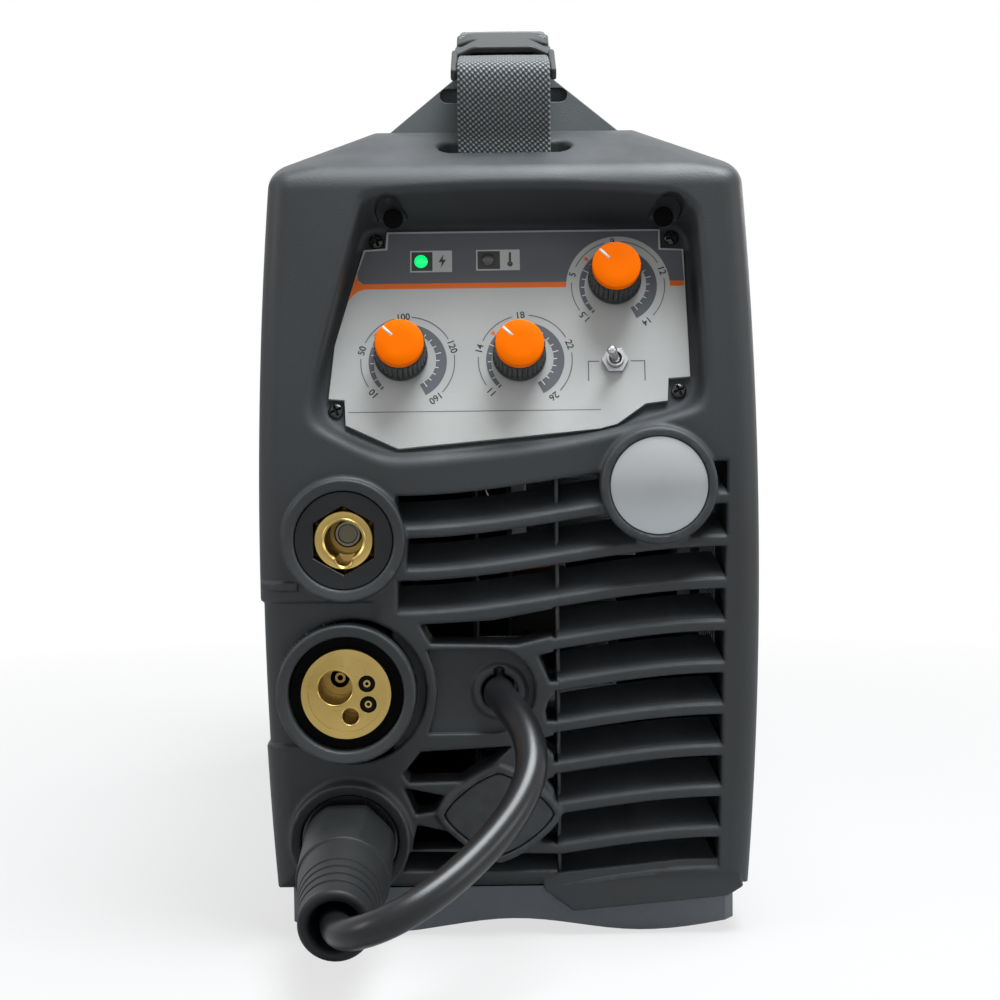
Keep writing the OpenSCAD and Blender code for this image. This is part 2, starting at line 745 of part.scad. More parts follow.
torch_ring_in = 7;
torch_ring_back = 22;

module torch_insulator() {
  color(black_plastic) outward(torch_at, 0) {
    difference() {
      translate([0, 0, -torch_ring_back]) cylinder(r = torch_collar_bore / 2 - 0.1, h = torch_ring_back - torch_ring_in);
      translate([0, 0, -torch_ring_back - 1]) cylinder(r = torch_d / 2 + 0.1, h = torch_ring_back);
    }
    for (p = contact_holes) translate([p[0], p[1], -24]) tube(contact_hole_r - 0.05, 1.3, 24 - torch_sink - 1.1);
    translate([wire_hole[0], wire_hole[1], -wire_hole_deep - guide_l]) tube(guide_r - 0.05, 1.9, guide_l - guide_sink);
  }
}

module torch_contacts() {
  color(brass) outward(torch_at, 0) {
    for (p = contact_holes) translate([p[0], p[1], -24]) tube(1.25, 0.6, 24 - torch_sink - 1.2);
    translate([wire_hole[0], wire_hole[1], -wire_hole_deep - guide_l]) tube(1.85, 1, guide_l - guide_sink);
  }
}

// ---- Polarity lead and plug ----
inner_bend_r = 22;
inner_bend_y = face_front + 22;
lead_seat = 2;

module inner_lead() {
  color(black_plastic) translate([0, 0, lead_exit[2]]) {
    translate([lead_exit[0], lead_exit[1], 0]) rotate([-90, 0, 0])
      cylinder(r = lead_d / 2, h = inner_bend_y - lead_exit[1]);
    translate([lead_exit[0] - inner_bend_r, inner_bend_y, 0]) rotate_extrude(angle = 90)
      translate([inner_bend_r, 0]) circle(r = lead_d / 2);
    translate([lead_exit[0] - inner_bend_r, inner_bend_y + inner_bend_r, 0]) rotate([0, -90, 0])
      cylinder(r = lead_d / 2, h = socket_x - torch_d / 2 + lead_exit[0] - inner_bend_r + lead_seat);
  }
}

function unit(v) = v / norm(v);
function tangent(p, i) =
  i == 0 ? [0, -1, 0] : i == len(p) - 1 ? -boot_axis : unit(p[i + 1] - p[i - 1]);
function side_of(t, u) = unit(u - (u * t) * t);
function frames(p, i, u) =
  i == len(p) ? [] : let (s = side_of(tangent(p, i), u)) concat([s], frames(p, i + 1, s));

module swept_lead(p, r, n) {
  f = frames(p, 0, [1, 0, 0]);
  last = len(p) - 1;
  points = [
    for (i = [0 : last], k = [0 : n - 1])
      let (t = tangent(p, i), s = f[i], w = cross(t, s), a = 360 * k / n) p[i] + r * (cos(a) * s + sin(a) * w)
  ];
  walls = [
    for (i = [0 : last - 1], k = [0 : n - 1])
      let (j = (k + 1) % n, a = i * n, b = a + n) each [[a + k, a + j, b + j], [a + k, b + j, b + k]]
  ];
  polyhedron(
    points = points,
    faces = concat([[for (k = [n - 1 : -1 : 0]) k]], walls, [[for (k = [0 : n - 1]) last * n + k]])
  );
}

module polarity_lead() {
  color(black_plastic) swept_lead(lead_route, lead_d / 2, lead_sides);
}

boot_bore = lead_d / 2 + 0.9;
boot_mouth = 8.5;
boot_ring_z = 30;
boot_grooves = 5;
groove_step = 5.2;

module boot_place() {
  outward(boot_seat, lower_lean) children();
}

function boot_radius(z) = boot_d / 2 + (boot_end_d - boot_d) / 2 * max(0, z - boot_ring_z) / (boot_l - boot_ring_z);

module plug_boot() {
  color(black_plastic) boot_place() rotate_extrude() polygon(concat(
    [[pin_r + 0.05, 0.6], [boot_d / 2 - 1.2, 0.6], [boot_d / 2, 1.8], [boot_d / 2, boot_ring_z],
     [boot_d / 2 - 0.8, boot_ring_z + 0.8]],
    [
      for (i = [0 : boot_grooves - 1])
        let (z = boot_ring_z + 10 + i * groove_step)
          each [[boot_radius(z) - 0.1, z], [boot_radius(z) - 1.1, z + 0.8], [boot_radius(z) - 1.1, z + 1.8],
                [boot_radius(z) - 0.1, z + 2.6]]
    ],
    [[boot_end_d / 2, boot_l - 2], [boot_end_d / 2 - 1.4, boot_l], [boot_mouth, boot_l], [boot_mouth - 0.5, boot_l - 6],
     [boot_bore, boot_l - 14], [boot_bore, lead_inside - 0.1], [pin_back_r + 0.05, lead_inside - 0.1],
     [pin_back_r + 0.05, 4], [pin_r + 0.05, 4]]
  ));
}

pin_r = power_bore / 2 - 0.1;
pin_back_r = 9;
pin_l = power_bore_depth - 5;
lug_r = 2.3;

module plug_pin() {
  color(brass) boot_place() {
    translate([0, 0, -pin_l]) cylinder(r = pin_r, h = pin_l + 4 + eps);
    translate([0, 0, 4]) cylinder(r = pin_back_r, h = lead_inside - 4 - 0.15);
    intersection() {
      translate([0, 0, -groove_deep - groove_w / 2]) rotate([0, -90, 0]) cylinder(r = lug_r, h = groove_r);
      translate([0, 0, -pin_l]) cylinder(r = groove_r - 0.4, h = pin_l);
    }
  }
}

// ---- Carrying strap, buckle and handle towers ----
buckle_lean = 18;
buckle_mid = [0, face_front + 44, strap_top - 25];
buckle_t = 9;
strap_gap = 0.6;

module buckle_place() {
  translate(buckle_mid) rotate([buckle_lean, 0, 0]) children();
}

bar_in = 4;
bar_r = 1.8;
front_bar = buckle_mid + [0, -(buckle_l / 2 - bar_in) * cos(buckle_lean), -(buckle_l / 2 - bar_in) * sin(buckle_lean)];
rear_bar = buckle_mid + [0, (buckle_l / 2 - bar_in) * cos(buckle_lean), (buckle_l / 2 - bar_in) * sin(buckle_lean)];
loop_r = strap_t / 2 + bar_r + 0.15;
anchor_loop_r = strap_t / 2 + anchor_r + 0.15;

module loop_round(p, r) {
  translate([-strap_w / 2, p[1], p[2]]) rotate([0, 90, 0]) tube(r + strap_t / 2, r - strap_t / 2, strap_w);
}

function band(p, t) =
  let (n = len(p), normals = [
    for (i = [0 : n - 1])
      let (d = unit(p[min(i + 1, n - 1)] - p[max(i - 1, 0)])) [-d[1], d[0]]
  ])
    concat([for (i = [0 : n - 1]) p[i] + t / 2 * normals[i]], [for (i = [n - 1 : -1 : 0]) p[i] - t / 2 * normals[i]]);

arch_steps = 14;
arch_start = [rear_bar[1] + 1, rear_bar[2] + loop_r];
tower_strap_y = -strap_y;
function arch_z(y) = strap_top - (strap_top - arch_start[1]) * pow(y / arch_start[0], 2);
rear_turn_r = 20;
rear_turn_y = tower_strap_y + anchor_loop_r - rear_turn_r;
rear_turn_z = arch_z(rear_turn_y) - rear_turn_r + 1.6;
strap_rear_path = concat(
  [for (i = [0 : arch_steps]) let (y = arch_start[0] + (rear_turn_y - 6 - arch_start[0]) * i / arch_steps) [y, arch_z(y)]],
  [for (i = [1 : 6]) let (a = 90 - 15 * i) [rear_turn_y + rear_turn_r * cos(a), rear_turn_z + rear_turn_r * sin(a)]],
  [[tower_strap_y + anchor_loop_r, anchor_z]]
);
strap_front_path = [
  [strap_y - anchor_loop_r, anchor_z], [strap_y - anchor_loop_r, anchor_z + 14],
  [front_bar[1] - loop_r, front_bar[2] - 6], [front_bar[1] - loop_r, front_bar[2]]
];

module strap() {
  color([0.16, 0.17, 0.18]) {
    sideways(band(strap_front_path, strap_t), -strap_w / 2, strap_w / 2);
    sideways(band(strap_rear_path, strap_t), -strap_w / 2, strap_w / 2);
    loop_round([0, strap_y, anchor_z], anchor_loop_r);
    loop_round([0, tower_strap_y, anchor_z], anchor_loop_r);
    loop_round(front_bar, loop_r);
    loop_round(rear_bar, loop_r);
  }
}

socket_share = 0.56;
split = buckle_l * (socket_share - 0.5);
bar_room = loop_r + strap_t / 2 + 0.4;

module buckle_end(y0, y1, bar_y) {
  difference() {
    translate([-buckle_w / 2, y0, -buckle_t / 2]) cube([buckle_w, y1 - y0, buckle_t]);
    translate([-strap_w / 2 - strap_gap, bar_y - bar_room, -buckle_t]) cube([strap_w + 2 * strap_gap, 2 * bar_room, 2 * buckle_t]);
    translate([-strap_w / 2 - strap_gap, bar_y < 0 ? y0 - 1 : bar_y, -buckle_t])
      cube([strap_w + 2 * strap_gap, bar_y < 0 ? bar_y - y0 + 1 : y1 - bar_y + 1, 2 * buckle_t]);
  }
  translate([-strap_w / 2 - strap_gap - 1, bar_y, 0]) rotate([0, 90, 0]) cylinder(r = bar_r, h = strap_w + 2 * strap_gap + 2);
}

module buckle_socket() {
  color(black_plastic) buckle_place() difference() {
    buckle_end(-buckle_l / 2, split, -(buckle_l / 2 - bar_in));
    translate([-buckle_w / 2 + 2.4, split - 20, -buckle_t / 2 + 2]) cube([buckle_w - 4.8, 21, buckle_t - 4]);
    for (x = [-1, 1]) translate([x * (buckle_w / 2 + 1.5), split - 12, 0]) cube([10, 10, buckle_t - 4], center = true);
  }
}

module buckle_prongs() {
  color(black_plastic) buckle_place() {
    buckle_end(split + fit_gap, buckle_l / 2, buckle_l / 2 - bar_in);
    for (x = [-1, 0, 1])
      translate([x * (buckle_w / 2 - 6) - (x == 0 ? 2 : 2.5), split - 18, -buckle_t / 2 + 2.4])
        cube([x == 0 ? 4 : 5, 18 + 2, buckle_t - 4.8]);
  }
}

tower_foot_z = bezel_top - cover_in;
tower_top_z = bezel_top + 19.5;
tower_half = 44.2;
tower_top_half = 16.5;
tower_l = 42;
tower_slot_z = bezel_top + 12.5;

module handle_tower() {
  difference() {
    intersection() {
      upright(
        [[-tower_half, tower_foot_z], [tower_half, tower_foot_z], [tower_top_half, tower_top_z], [-tower_top_half, tower_top_z]],
        rim_y, rim_y + tower_l
      );
      sideways(
        [[rim_y + 0.2, tower_foot_z], [rim_y + 3.6, tower_top_z], [rim_y + 20, tower_top_z], [rim_y + tower_l, tower_foot_z]],
        -tower_half, tower_half
      );
    }
    translate([0, rim_y + 6, tower_slot_z]) rotate([90, 0, 0]) linear_extrude(height = 10) polygon(obround(strap_slot_w, 5));
    translate([0, rim_y + 26, tower_foot_z]) cylinder(r = 1.5, h = 8);
  }
}

module handle_towers() {
  color(charcoal) {
    handle_tower();
    rotate([0, 0, 180]) handle_tower();
  }
}

// ---- Case ----
door_low = bezel_foot + 10.5;
door_high = 250;
hinge_x = -bezel_w / 2 + 3.1;
hinge_z = bezel_foot + 5.5;
barrel_r = 3.1;
knuckle_l = 20;
knuckle_places = [-110, 110];
latch_places = [-90, 90];
latch_z = door_high - 12;
stud_r = 3;
latch_head_r = 10;
flange_in = cover_in + sheet_t + fit_gap;
latch_pad_r = latch_head_r + 1;
latch_pad_t = 1.6;
latch_pad_x = -half_width(latch_z - latch_pad_r) + cover_in - 0.15;
stud_l = 5.6;

module wrap(e, t, y0, y1) {
  difference() {
    upright(outline(e), y0, y1);
    upright(outline(e + t), y0 - 1, y1 + 1);
  }
}

module latch_studs(r) {
  for (y = latch_places) translate([-bezel_w / 2 - 5, y, latch_z]) rotate([0, 90, 0]) cylinder(r = r, h = 30);
}

module main_cover() {
  color(charcoal) difference() {
    union() {
      difference() {
        wrap(cover_in, sheet_t, rim_y - tuck, -rim_y + tuck);
        translate([-bezel_w, -case_l, 0]) cube([2 * bezel_w, 2 * case_l, bezel_foot + cover_in + sheet_t + 0.2]);
        translate([-bezel_w, rim_y - tuck - 1, 0]) cube([bezel_w, -2 * rim_y + 2 * tuck + 2, door_high + 0.4]);
      }
      intersection() {
        wrap(flange_in, sheet_t, rim_y, -rim_y);
        translate([-bezel_w, rim_y, door_high - 22]) cube([30 + bezel_w / 2, -2 * rim_y, 34]);
      }
      intersection() {
        wrap(cover_in + sheet_t - 0.1, sheet_t, rim_y, -rim_y);
        translate([-bezel_w, rim_y, door_high + 1]) cube([30 + bezel_w / 2, -2 * rim_y, 8]);
      }
    }
    latch_studs(stud_r + 0.4);
    for (y = side_screw_y) along_x(60, 100, y, side_screw_z, screw_r + 0.2);
    for (i = [0 : 7], s = [-1, 1]) translate([60, s * 60 + (i - 3.5) * 9, 80]) cube([40, 4, 90]);
  }
}

module side_door() {
  color(charcoal) difference() {
    union() {
      intersection() {
        wrap(cover_in, sheet_t, rim_y + fit_gap, -rim_y - fit_gap);
        translate([-bezel_w, rim_y, door_low]) cube([30 + bezel_w / 2, -2 * rim_y, door_high - door_low]);
      }
      for (y = knuckle_places) translate([0, y - knuckle_l / 2, 0]) {
        translate([hinge_x, 0, hinge_z]) rotate([-90, 0, 0]) cylinder(r = barrel_r, h = knuckle_l);
        translate([hinge_x, 0, hinge_z]) cube([-hinge_x - half_width(door_low) + cover_in + 0.4, knuckle_l, 4]);
        translate([hinge_x - 0.2, 0, hinge_z]) cube([2.4, knuckle_l, 16]);
        translate([hinge_x, 0, door_low + 1]) cube([-hinge_x - half_width(door_low) + cover_in + 0.4, knuckle_l, 10]);
      }
      for (y = latch_places)
        translate([latch_pad_x, y, latch_z]) rotate([0, 90, 0]) cylinder(r = latch_pad_r, h = latch_pad_t);
    }
    for (y = knuckle_places) translate([hinge_x, y - knuckle_l, hinge_z]) rotate([-90, 0, 0])
      cylinder(r = hinge_pin_d / 2 + 0.1, h = 2 * knuckle_l);
    latch_studs(stud_r + 0.1);
  }
}

module hinge_pins() {
  color(steel) for (y = knuckle_places) translate([hinge_x, y - knuckle_l / 2 - 9, hinge_z]) rotate([-90, 0, 0])
    cylinder(r = hinge_pin_d / 2, h = knuckle_l + 18);
}

module door_latch(y) {
  color(black_plastic) translate([latch_pad_x - fit_gap, y, latch_z]) rotate([0, -90, 0]) {
    cylinder(r = latch_head_r, h = 2.4);
    translate([-latch_head_r + 2, -1.5, 0]) cube([2 * latch_head_r - 4, 3, 4.4]);
    translate([0, 0, -stud_l]) cylinder(r = stud_r, h = stud_l + 1);
  }
}

module front_latch() {
  door_latch(latch_places[0]);
}

module rear_latch() {
  door_latch(latch_places[1]);
}

base_half = 77.4;
base_l = case_l - 34;
base_chamfer = 3;
lobe_x = 46;
lobe_z = 1;
wave = 4.5;
edge_wave = 3.6;
base_wall = 1.5;
base_wall_top = 40;
function wave_z(x) = abs(x) < lobe_x
  ? lobe_z + wave * (1 + cos(180 * x / lobe_x)) / 2
  : lobe_z + edge_wave * (1 - cos(180 * (abs(x) - lobe_x) / (2 * (base_half - lobe_x))));
wave_steps = 28;

module base_tray() {
  color(blue_grey) difference() {
    union() {
      difference() {
        intersection() {
          upright(
            concat([for (i = [0 : wave_steps]) let (x = -base_half + 2 * base_half * i / wave_steps) [x, wave_z(x)]],
              [[base_half, bezel_foot], [-base_half, bezel_foot]]),
            -base_l / 2, base_l / 2
          );
          linear_extrude(height = bezel_foot + 1) polygon([
            for (s = [[1, 1], [-1, 1], [-1, -1], [1, -1]], k = [0, 1])
              let (c = (s[0] * s[1] > 0) ? k : 1 - k)
                [s[0] * (base_half - base_chamfer * c), s[1] * (base_l / 2 - base_chamfer * (1 - c))]
          ]);
        }
        translate([-base_half + 4, -base_l / 2 + 4, base_floor]) cube([2 * base_half - 8, base_l - 8, 20]);
      }
      for (s = [-1, 1]) translate([s * (base_half - base_wall / 2) - base_wall / 2, rim_y + 1, bezel_foot - 6])
        cube([base_wall, -2 * rim_y - 2, base_wall_top - bezel_foot + 6]);
      for (y = knuckle_places, s = [-1, 1]) translate([0, y + s * (knuckle_l / 2 + 5), 0]) {
        translate([hinge_x, -4.6, hinge_z]) rotate([-90, 0, 0]) cylinder(r = barrel_r, h = 9.2);
        translate([hinge_x, -4.6, hinge_z - barrel_r]) cube([-hinge_x - base_half + 1, 9.2, 2 * barrel_r]);
      }
    }
    for (y = knuckle_places) translate([hinge_x, y - knuckle_l / 2 - 10, hinge_z]) rotate([-90, 0, 0])
      cylinder(r = hinge_pin_d / 2, h = knuckle_l + 20);
    for (x = [-1, 1], y = [-1, 1]) translate([x * lobe_x, y * foot_y, -1]) cylinder(r = foot_r, h = foot_in + 1);
    for (s = [-1, 1], y = side_screw_y) along_x(s * base_half - 10, s * base_half + 10, y, side_screw_z, screw_r);
  }
}

foot_r = 8;
foot_y = 150;
foot_in = 3.4;
side_screw_y = [-140, 140];
side_screw_z = 32;
side_head_r = 4;
side_head_x = half_width(side_screw_z + side_head_r) - cover_in + 0.05;

module rubber_feet() {
  color(black_plastic) for (x = [-1, 1], y = [-1, 1]) translate([x * lobe_x, y * foot_y, 0])
    cylinder(r1 = foot_r - 0.6, r2 = foot_r - 0.1, h = foot_in);
}

module case_screws() {
  color(steel) {
    for (p = niche_places, s = [0, 1]) rotate([0, 0, 180 * s])
      outward([p[0], niche_floor, p[1]], 0) screw(3.4, 2, screw_r, 8);
    for (y = side_screw_y) translate([side_head_x, y, side_screw_z]) rotate([0, 90, 0])
      screw(side_head_r, 1.8, screw_r, side_head_x - base_half + base_wall);
  }
}

divider_t = 1.5;
spool_y = 52;
spool_z = 150;
spindle_r = 8;
spindle_l = 58;
hub_x = -divider_x - divider_t - 2;

module divider() {
  color(steel) {
    difference() {
      translate([-divider_x - divider_t, rim_y + 8, base_floor])
        cube([divider_t, -2 * rim_y - 10, bezel_top - cover_in - sheet_t - base_floor]);
      translate([0, drive_y, drive_z]) rotate([0, 90, 0]) cylinder(r = motor_r + 1, h = 60, center = true);
    }
    translate([-divider_x - divider_t, spool_y, spool_z]) rotate([0, -90, 0]) {
      cylinder(r = spindle_r, h = spindle_l);
      translate([0, 0, spindle_l - 4]) cylinder(r = 13, h = 5);
      cylinder(r = 13, h = 1.6);
    }
  }
}

// ---- Rear ----
fan_at = [30, -face_front - 13 - fan_t, 150];
fan_bore = fan_w / 2 - 2.5;
fan_seat_y = fan_at[1] + fan_t;
switch_at = [-38, 222];
switch_w = 28;
switch_h = 32;
gland_at = [36, 62];
inlet_at = [-socket_x, 60];
function rear_y(z) = -face_y(z);
vent_rows = 9;
vent_step = 9;

module rear_bezel() {
  color(charcoal) difference() {
    rotate([0, 0, 180]) tapered_shell(0, rim_y);
    difference() {
      rotate([0, 0, 180]) tapered_shell(wall, rim_y + 1);
      rotate([0, 0, 180]) strap_block();
      for (x = [-1, 1], z = [-1, 1])
        translate([fan_at[0] + x * (fan_w / 2 - 5), fan_seat_y, fan_at[2] + z * (fan_w / 2 - 5)])
          rotate([-90, 0, 0]) cylinder(r = 4, h = 20);
      for (p = niche_places)
        rotate([0, 0, 180]) outward([p[0], niche_floor + 4, p[1]], 0) cylinder(r = niche_r + 2, h = 30);
    }
    translate([switch_at[0] - switch_w / 2 - fit_gap, switch_seat, switch_at[1] - switch_h / 2 - fit_gap])
      cube([switch_w + 2 * fit_gap, 10, switch_h + 2 * fit_gap]);
    for (i = [0 : vent_rows - 1])
      let (z = (i - (vent_rows - 1) / 2) * vent_step, half = sqrt(pow(fan_bore - 1, 2) - pow(abs(z) + 2.5, 2)))
        translate([fan_at[0] - half, -face_front - 30, fan_at[2] + z - 2.5]) cube([2 * half, 40, 5]);
    translate([switch_at[0] - switch_w / 2 + 2, -face_front - 30, switch_at[1] - switch_h / 2 + 2])
      cube([switch_w - 4, 40, switch_h - 4]);
    translate([gland_at[0], -face_front - 30, gland_at[1]]) rotate([-90, 0, 0]) cylinder(r = 8.2, h = 40);
    translate([inlet_at[0], -face_front - 30, inlet_at[1]]) rotate([-90, 0, 0]) cylinder(r = 5.2, h = 40);
    rotate([0, 0, 180]) strap_channel();
    for (p = niche_places) rotate([0, 0, 180]) {
      outward([p[0], niche_floor, p[1]], 0) cylinder(r = niche_r, h = 30);
      outward([p[0], niche_floor + 9, p[1]], 0) cylinder(r = screw_r + 0.3, h = 33);
    }
  }
  color(charcoal) rotate([0, 0, 180]) anchor_bar();
}

switch_face = rear_y(switch_at[1] - switch_h / 2) + 1.2;
switch_seat = rear_y(switch_at[1] + switch_h / 2) - 0.1;

module switch_frame() {
  color(black_plastic) translate([switch_at[0], 0, switch_at[1]]) difference() {
    union() {
      translate([-switch_w / 2, switch_seat, -switch_h / 2]) cube([switch_w, switch_face + 1.8 - switch_seat, switch_h]);
      translate([-switch_w / 2 + 2.2, switch_face - 22, -switch_h / 2 + 2.2]) cube([switch_w - 4.4, 21, switch_h - 4.4]);
    }
    translate([-rocker_w / 2 - 0.4, switch_face - 12, -rocker_h / 2 - 0.5]) cube([rocker_w + 0.8, 20, rocker_h + 1]);
  }
}

rocker_w = 18;
rocker_h = 22;
rocker_lean = 8;
rocker_r = rocker_h / 2;

module switch_rocker() {
  color(black_plastic) translate([switch_at[0] - rocker_w / 2, switch_face + 0.6, switch_at[1]]) rotate([-rocker_lean, 0, 0])
    sideways([
      [-9, -3], [-3, -rocker_r + 0.4], [2.6, -rocker_r + 0.6], [1.2, 0], [2.6, rocker_r - 0.6], [-3, rocker_r - 0.4], [-9, 3]
    ], 0, rocker_w);
}

module mains_gland() {
  color(black_plastic) translate([gland_at[0], 0, gland_at[1]]) difference() {
    union() {
      y0 = rear_y(gland_at[1] + 12) + 0.2;
      translate([0, y0, 0]) rotate([-90, 0, 0]) cylinder(r = 12.4, h = 5, $fn = 6);
      translate([0, y0 + 5, 0]) rotate([-90, 0, 0]) cylinder(r1 = 10.5, r2 = 8, h = rear_limit - y0 - 5);
      translate([0, y0 - 14, 0]) rotate([-90, 0, 0]) cylinder(r = 8, h = 15);
      translate([0, y0 - 14, 0]) rotate([-90, 0, 0]) cylinder(r = 12.4, h = 5, $fn = 6);
    }
    rotate([-90, 0, 0]) cylinder(r = gland_bore / 2, h = 400);
  }
}

valve_back = -rim_y + 24;
spigot_l = 12;

module gas_inlet() {
  color(brass) translate([inlet_at[0], 0, inlet_at[1]]) difference() {
    union() {
      translate([0, valve_back, 0]) rotate([-90, 0, 0]) cylinder(r = 5, h = rear_limit - spigot_l + 1 - valve_back);
      translate([0, rear_y(inlet_at[1] + 8) + 0.2, 0]) rotate([-90, 0, 0]) cylinder(r = 8, h = 3, $fn = 6);
      translate([0, rear_limit - spigot_l, 0]) rotate([-90, 0, 0]) cylinder(r = spigot_d / 2, h = spigot_l - 0.8);
      translate([0, rear_limit - 0.8, 0]) rotate([-90, 0, 0])
        cylinder(r1 = spigot_d / 2, r2 = spigot_d / 2 - 0.8, h = 0.8);
    }
    rotate([-90, 0, 0]) cylinder(r = 2.2, h = 400);
  }
}

rotor_r = fan_bore - 1.6;
rotor_hub_r = 17;
axle_r = 2;
blades = 7;

module fan_frame() {
  color(black_plastic) translate(fan_at) difference() {
    union() {
      difference() {
        translate([-fan_w / 2, 0, -fan_w / 2]) cube([fan_w, fan_t, fan_w]);
        translate([0, -1, 0]) rotate([-90, 0, 0]) cylinder(r = fan_bore, h = fan_t + 2);
      }
      for (a = [45, 135, 225, 315]) rotate([0, a, 0]) translate([0, 0, -2]) cube([fan_bore + 2, 3, 4]);
      rotate([-90, 0, 0]) cylinder(r = rotor_hub_r, h = 4);
    }
    rotate([-90, 0, 0]) cylinder(r = axle_r + running_gap, h = 8, center = true);
    for (x = [-1, 1], z = [-1, 1]) translate([x * (fan_w / 2 - 5), -1, z * (fan_w / 2 - 5)]) rotate([-90, 0, 0])
      cylinder(r = 2, h = fan_t + 2);
  }
}

module fan_rotor() {
  color(black_plastic) translate(fan_at) {
    translate([0, 5, 0]) rotate([-90, 0, 0]) cylinder(r = rotor_hub_r, h = 17);
    translate([0, 0.5, 0]) rotate([-90, 0, 0]) cylinder(r = axle_r, h = 5);
    intersection() {
      for (i = [0 : blades - 1]) rotate([0, 360 * i / blades, 0]) translate([rotor_hub_r - 2, 13.5, 0]) rotate([42, 0, 0])
        translate([0, -0.8, -9.5]) cube([rotor_r, 1.6, 19]);
      translate([0, 5.5, 0]) rotate([-90, 0, 0]) tube(rotor_r, rotor_hub_r - 1.5, 16);
    }
  }
}

// ---- Wire feed ----
wire_x = -socket_x + wire_hole[0];
wire_z = torch_z + wire_hole[1];
drive_y = -105;
drive_z = wire_z - wire_d / 2 - drive_roll_d / 2 + 0.2;
roll_w = 12;
roll_shaft_r = 4;
motor_r = 19;
frame_x = -36;
frame_t = 5;
frame_back = frame_x + frame_t;
arm_pivot = [-138, torch_z + 24.7];
pressure_z = wire_z + wire_d / 2 + pressure_roll_d / 2 + 0.3;
pin_shaft_r = 3;
arm_x = -54;
arm_t = 5.4;
clamp_y0 = torch_face + torch_sink + torch_l - 10;
screw_y = -72;
shelf_z = wire_z - 6;

module along_x(x0, x1, y, z, r) {
  translate([x0, y, z]) rotate([0, 90, 0]) cylinder(r = r, h = x1 - x0);
}

module feeder_frame() {
  color(black_plastic) difference() {
    union() {
      sideways([
        [-148, 66], [-126, 48], [-84, 48], [-62, 66], [-62, 108], [-80, 118], [-126, 130], [-146, 130]
      ], frame_x, frame_back);
      for (p = [[-140, 122], [-140, 72], [-70, 104], [-70, 70]])
        along_x(frame_back - 1, -divider_x - divider_t, p[0], p[1], 4);
      along_x(frame_x - 12 + eps, frame_x + 1, arm_pivot[0], arm_pivot[1], 6);
      along_x(wire_x - 6, frame_x, arm_pivot[0], arm_pivot[1], pin_shaft_r);
      translate([-62, screw_y - 6, shelf_z - 4]) cube([frame_x + 62.5, 12, 4]);
      translate([-socket_x, clamp_y0, torch_z]) rotate([-90, 0, 0]) tube(torch_d / 2 + 4.5, torch_d / 2 + 0.1, 10);
      translate([-socket_x + torch_d / 2 + 2, clamp_y0, torch_z - 6]) cube([frame_back + socket_x - torch_d / 2 - 2, 22, 12]);
    }
    along_x(frame_x - 20, frame_back + 5, drive_y, drive_z, roll_shaft_r + running_gap);
  }
}

module feed_motor() {
  color(steel) difference() {
    union() {
      translate([frame_back, drive_y - 26, drive_z - 19]) cube([-divider_x - divider_t - frame_back - 1, 46, 38]);
      along_x(-divider_x - divider_t - 2, 38, drive_y, drive_z, motor_r);
      along_x(37, 41, drive_y, drive_z, 7);
    }
    along_x(frame_back - 5, frame_back + 12, drive_y, drive_z, roll_shaft_r + running_gap);
  }
}

module drive_roll() {
  color(steel) {
    translate([wire_x - roll_w / 2, drive_y, drive_z]) rotate([0, 90, 0]) rotate_extrude() polygon([
      [0, 0], [drive_roll_d / 2 - 0.6, 0], [drive_roll_d / 2, 0.6], [drive_roll_d / 2, roll_w / 2 - 0.6],
      [drive_roll_d / 2 - 0.6, roll_w / 2], [drive_roll_d / 2, roll_w / 2 + 0.6], [drive_roll_d / 2, roll_w - 0.6],
      [drive_roll_d / 2 - 0.6, roll_w], [0, roll_w]
    ]);
    along_x(wire_x, frame_back + 11, drive_y, drive_z, roll_shaft_r);
    along_x(wire_x - roll_w / 2 - 5, wire_x - roll_w / 2 + 1, drive_y, drive_z, 7);
  }
}

module pressure_arm() {
  color(black_plastic) difference() {
    union() {
      sideways([
        [arm_pivot[0] - 7, arm_pivot[1] - 3], [arm_pivot[0], arm_pivot[1] - 7], [drive_y - 6, pressure_z - 6],
        [drive_y + 6, pressure_z - 6], [screw_y - 8, arm_pivot[1] - 6], [screw_y + 7, arm_pivot[1] - 6],
        [screw_y + 7, arm_pivot[1] + 5], [drive_y, arm_pivot[1] + 8], [arm_pivot[0], arm_pivot[1] + 7],
        [arm_pivot[0] - 7, arm_pivot[1] + 3]
      ], arm_x, arm_x + arm_t);
      along_x(wire_x - 7, arm_x + 1, drive_y, pressure_z, pin_shaft_r);
      translate([arm_x + arm_t / 2, screw_y, arm_pivot[1] - 6]) cylinder(r = 6, h = 12.2);
    }
    along_x(arm_x - 5, arm_x + arm_t + 5, arm_pivot[0], arm_pivot[1], pin_shaft_r + running_gap);
    translate([arm_x + arm_t / 2, screw_y, arm_pivot[1] - 20]) cylinder(r = 2.5 + running_gap, h = 40);
  }
}

module pressure_roll() {
  color(steel) translate([wire_x - 5, drive_y, pressure_z]) rotate([0, 90, 0])
    tube(pressure_roll_d / 2, pin_shaft_r + running_gap, 10.2);
}

tension_seat = arm_pivot[1] + 6.55;
tension_h = 14;

module tension_knob() {
  color(black_plastic) translate([arm_x + arm_t / 2, screw_y, 0]) {
    translate([0, 0, shelf_z + 0.3]) cylinder(r = 2.5, h = tension_seat + 2 - shelf_z);
    translate([0, 0, tension_seat]) linear_extrude(height = tension_h) polygon(fluted(9, 0.8));
    translate([0, 0, tension_seat + tension_h]) cylinder(r1 = 8.2, r2 = 6, h = 2.4);
  }
}

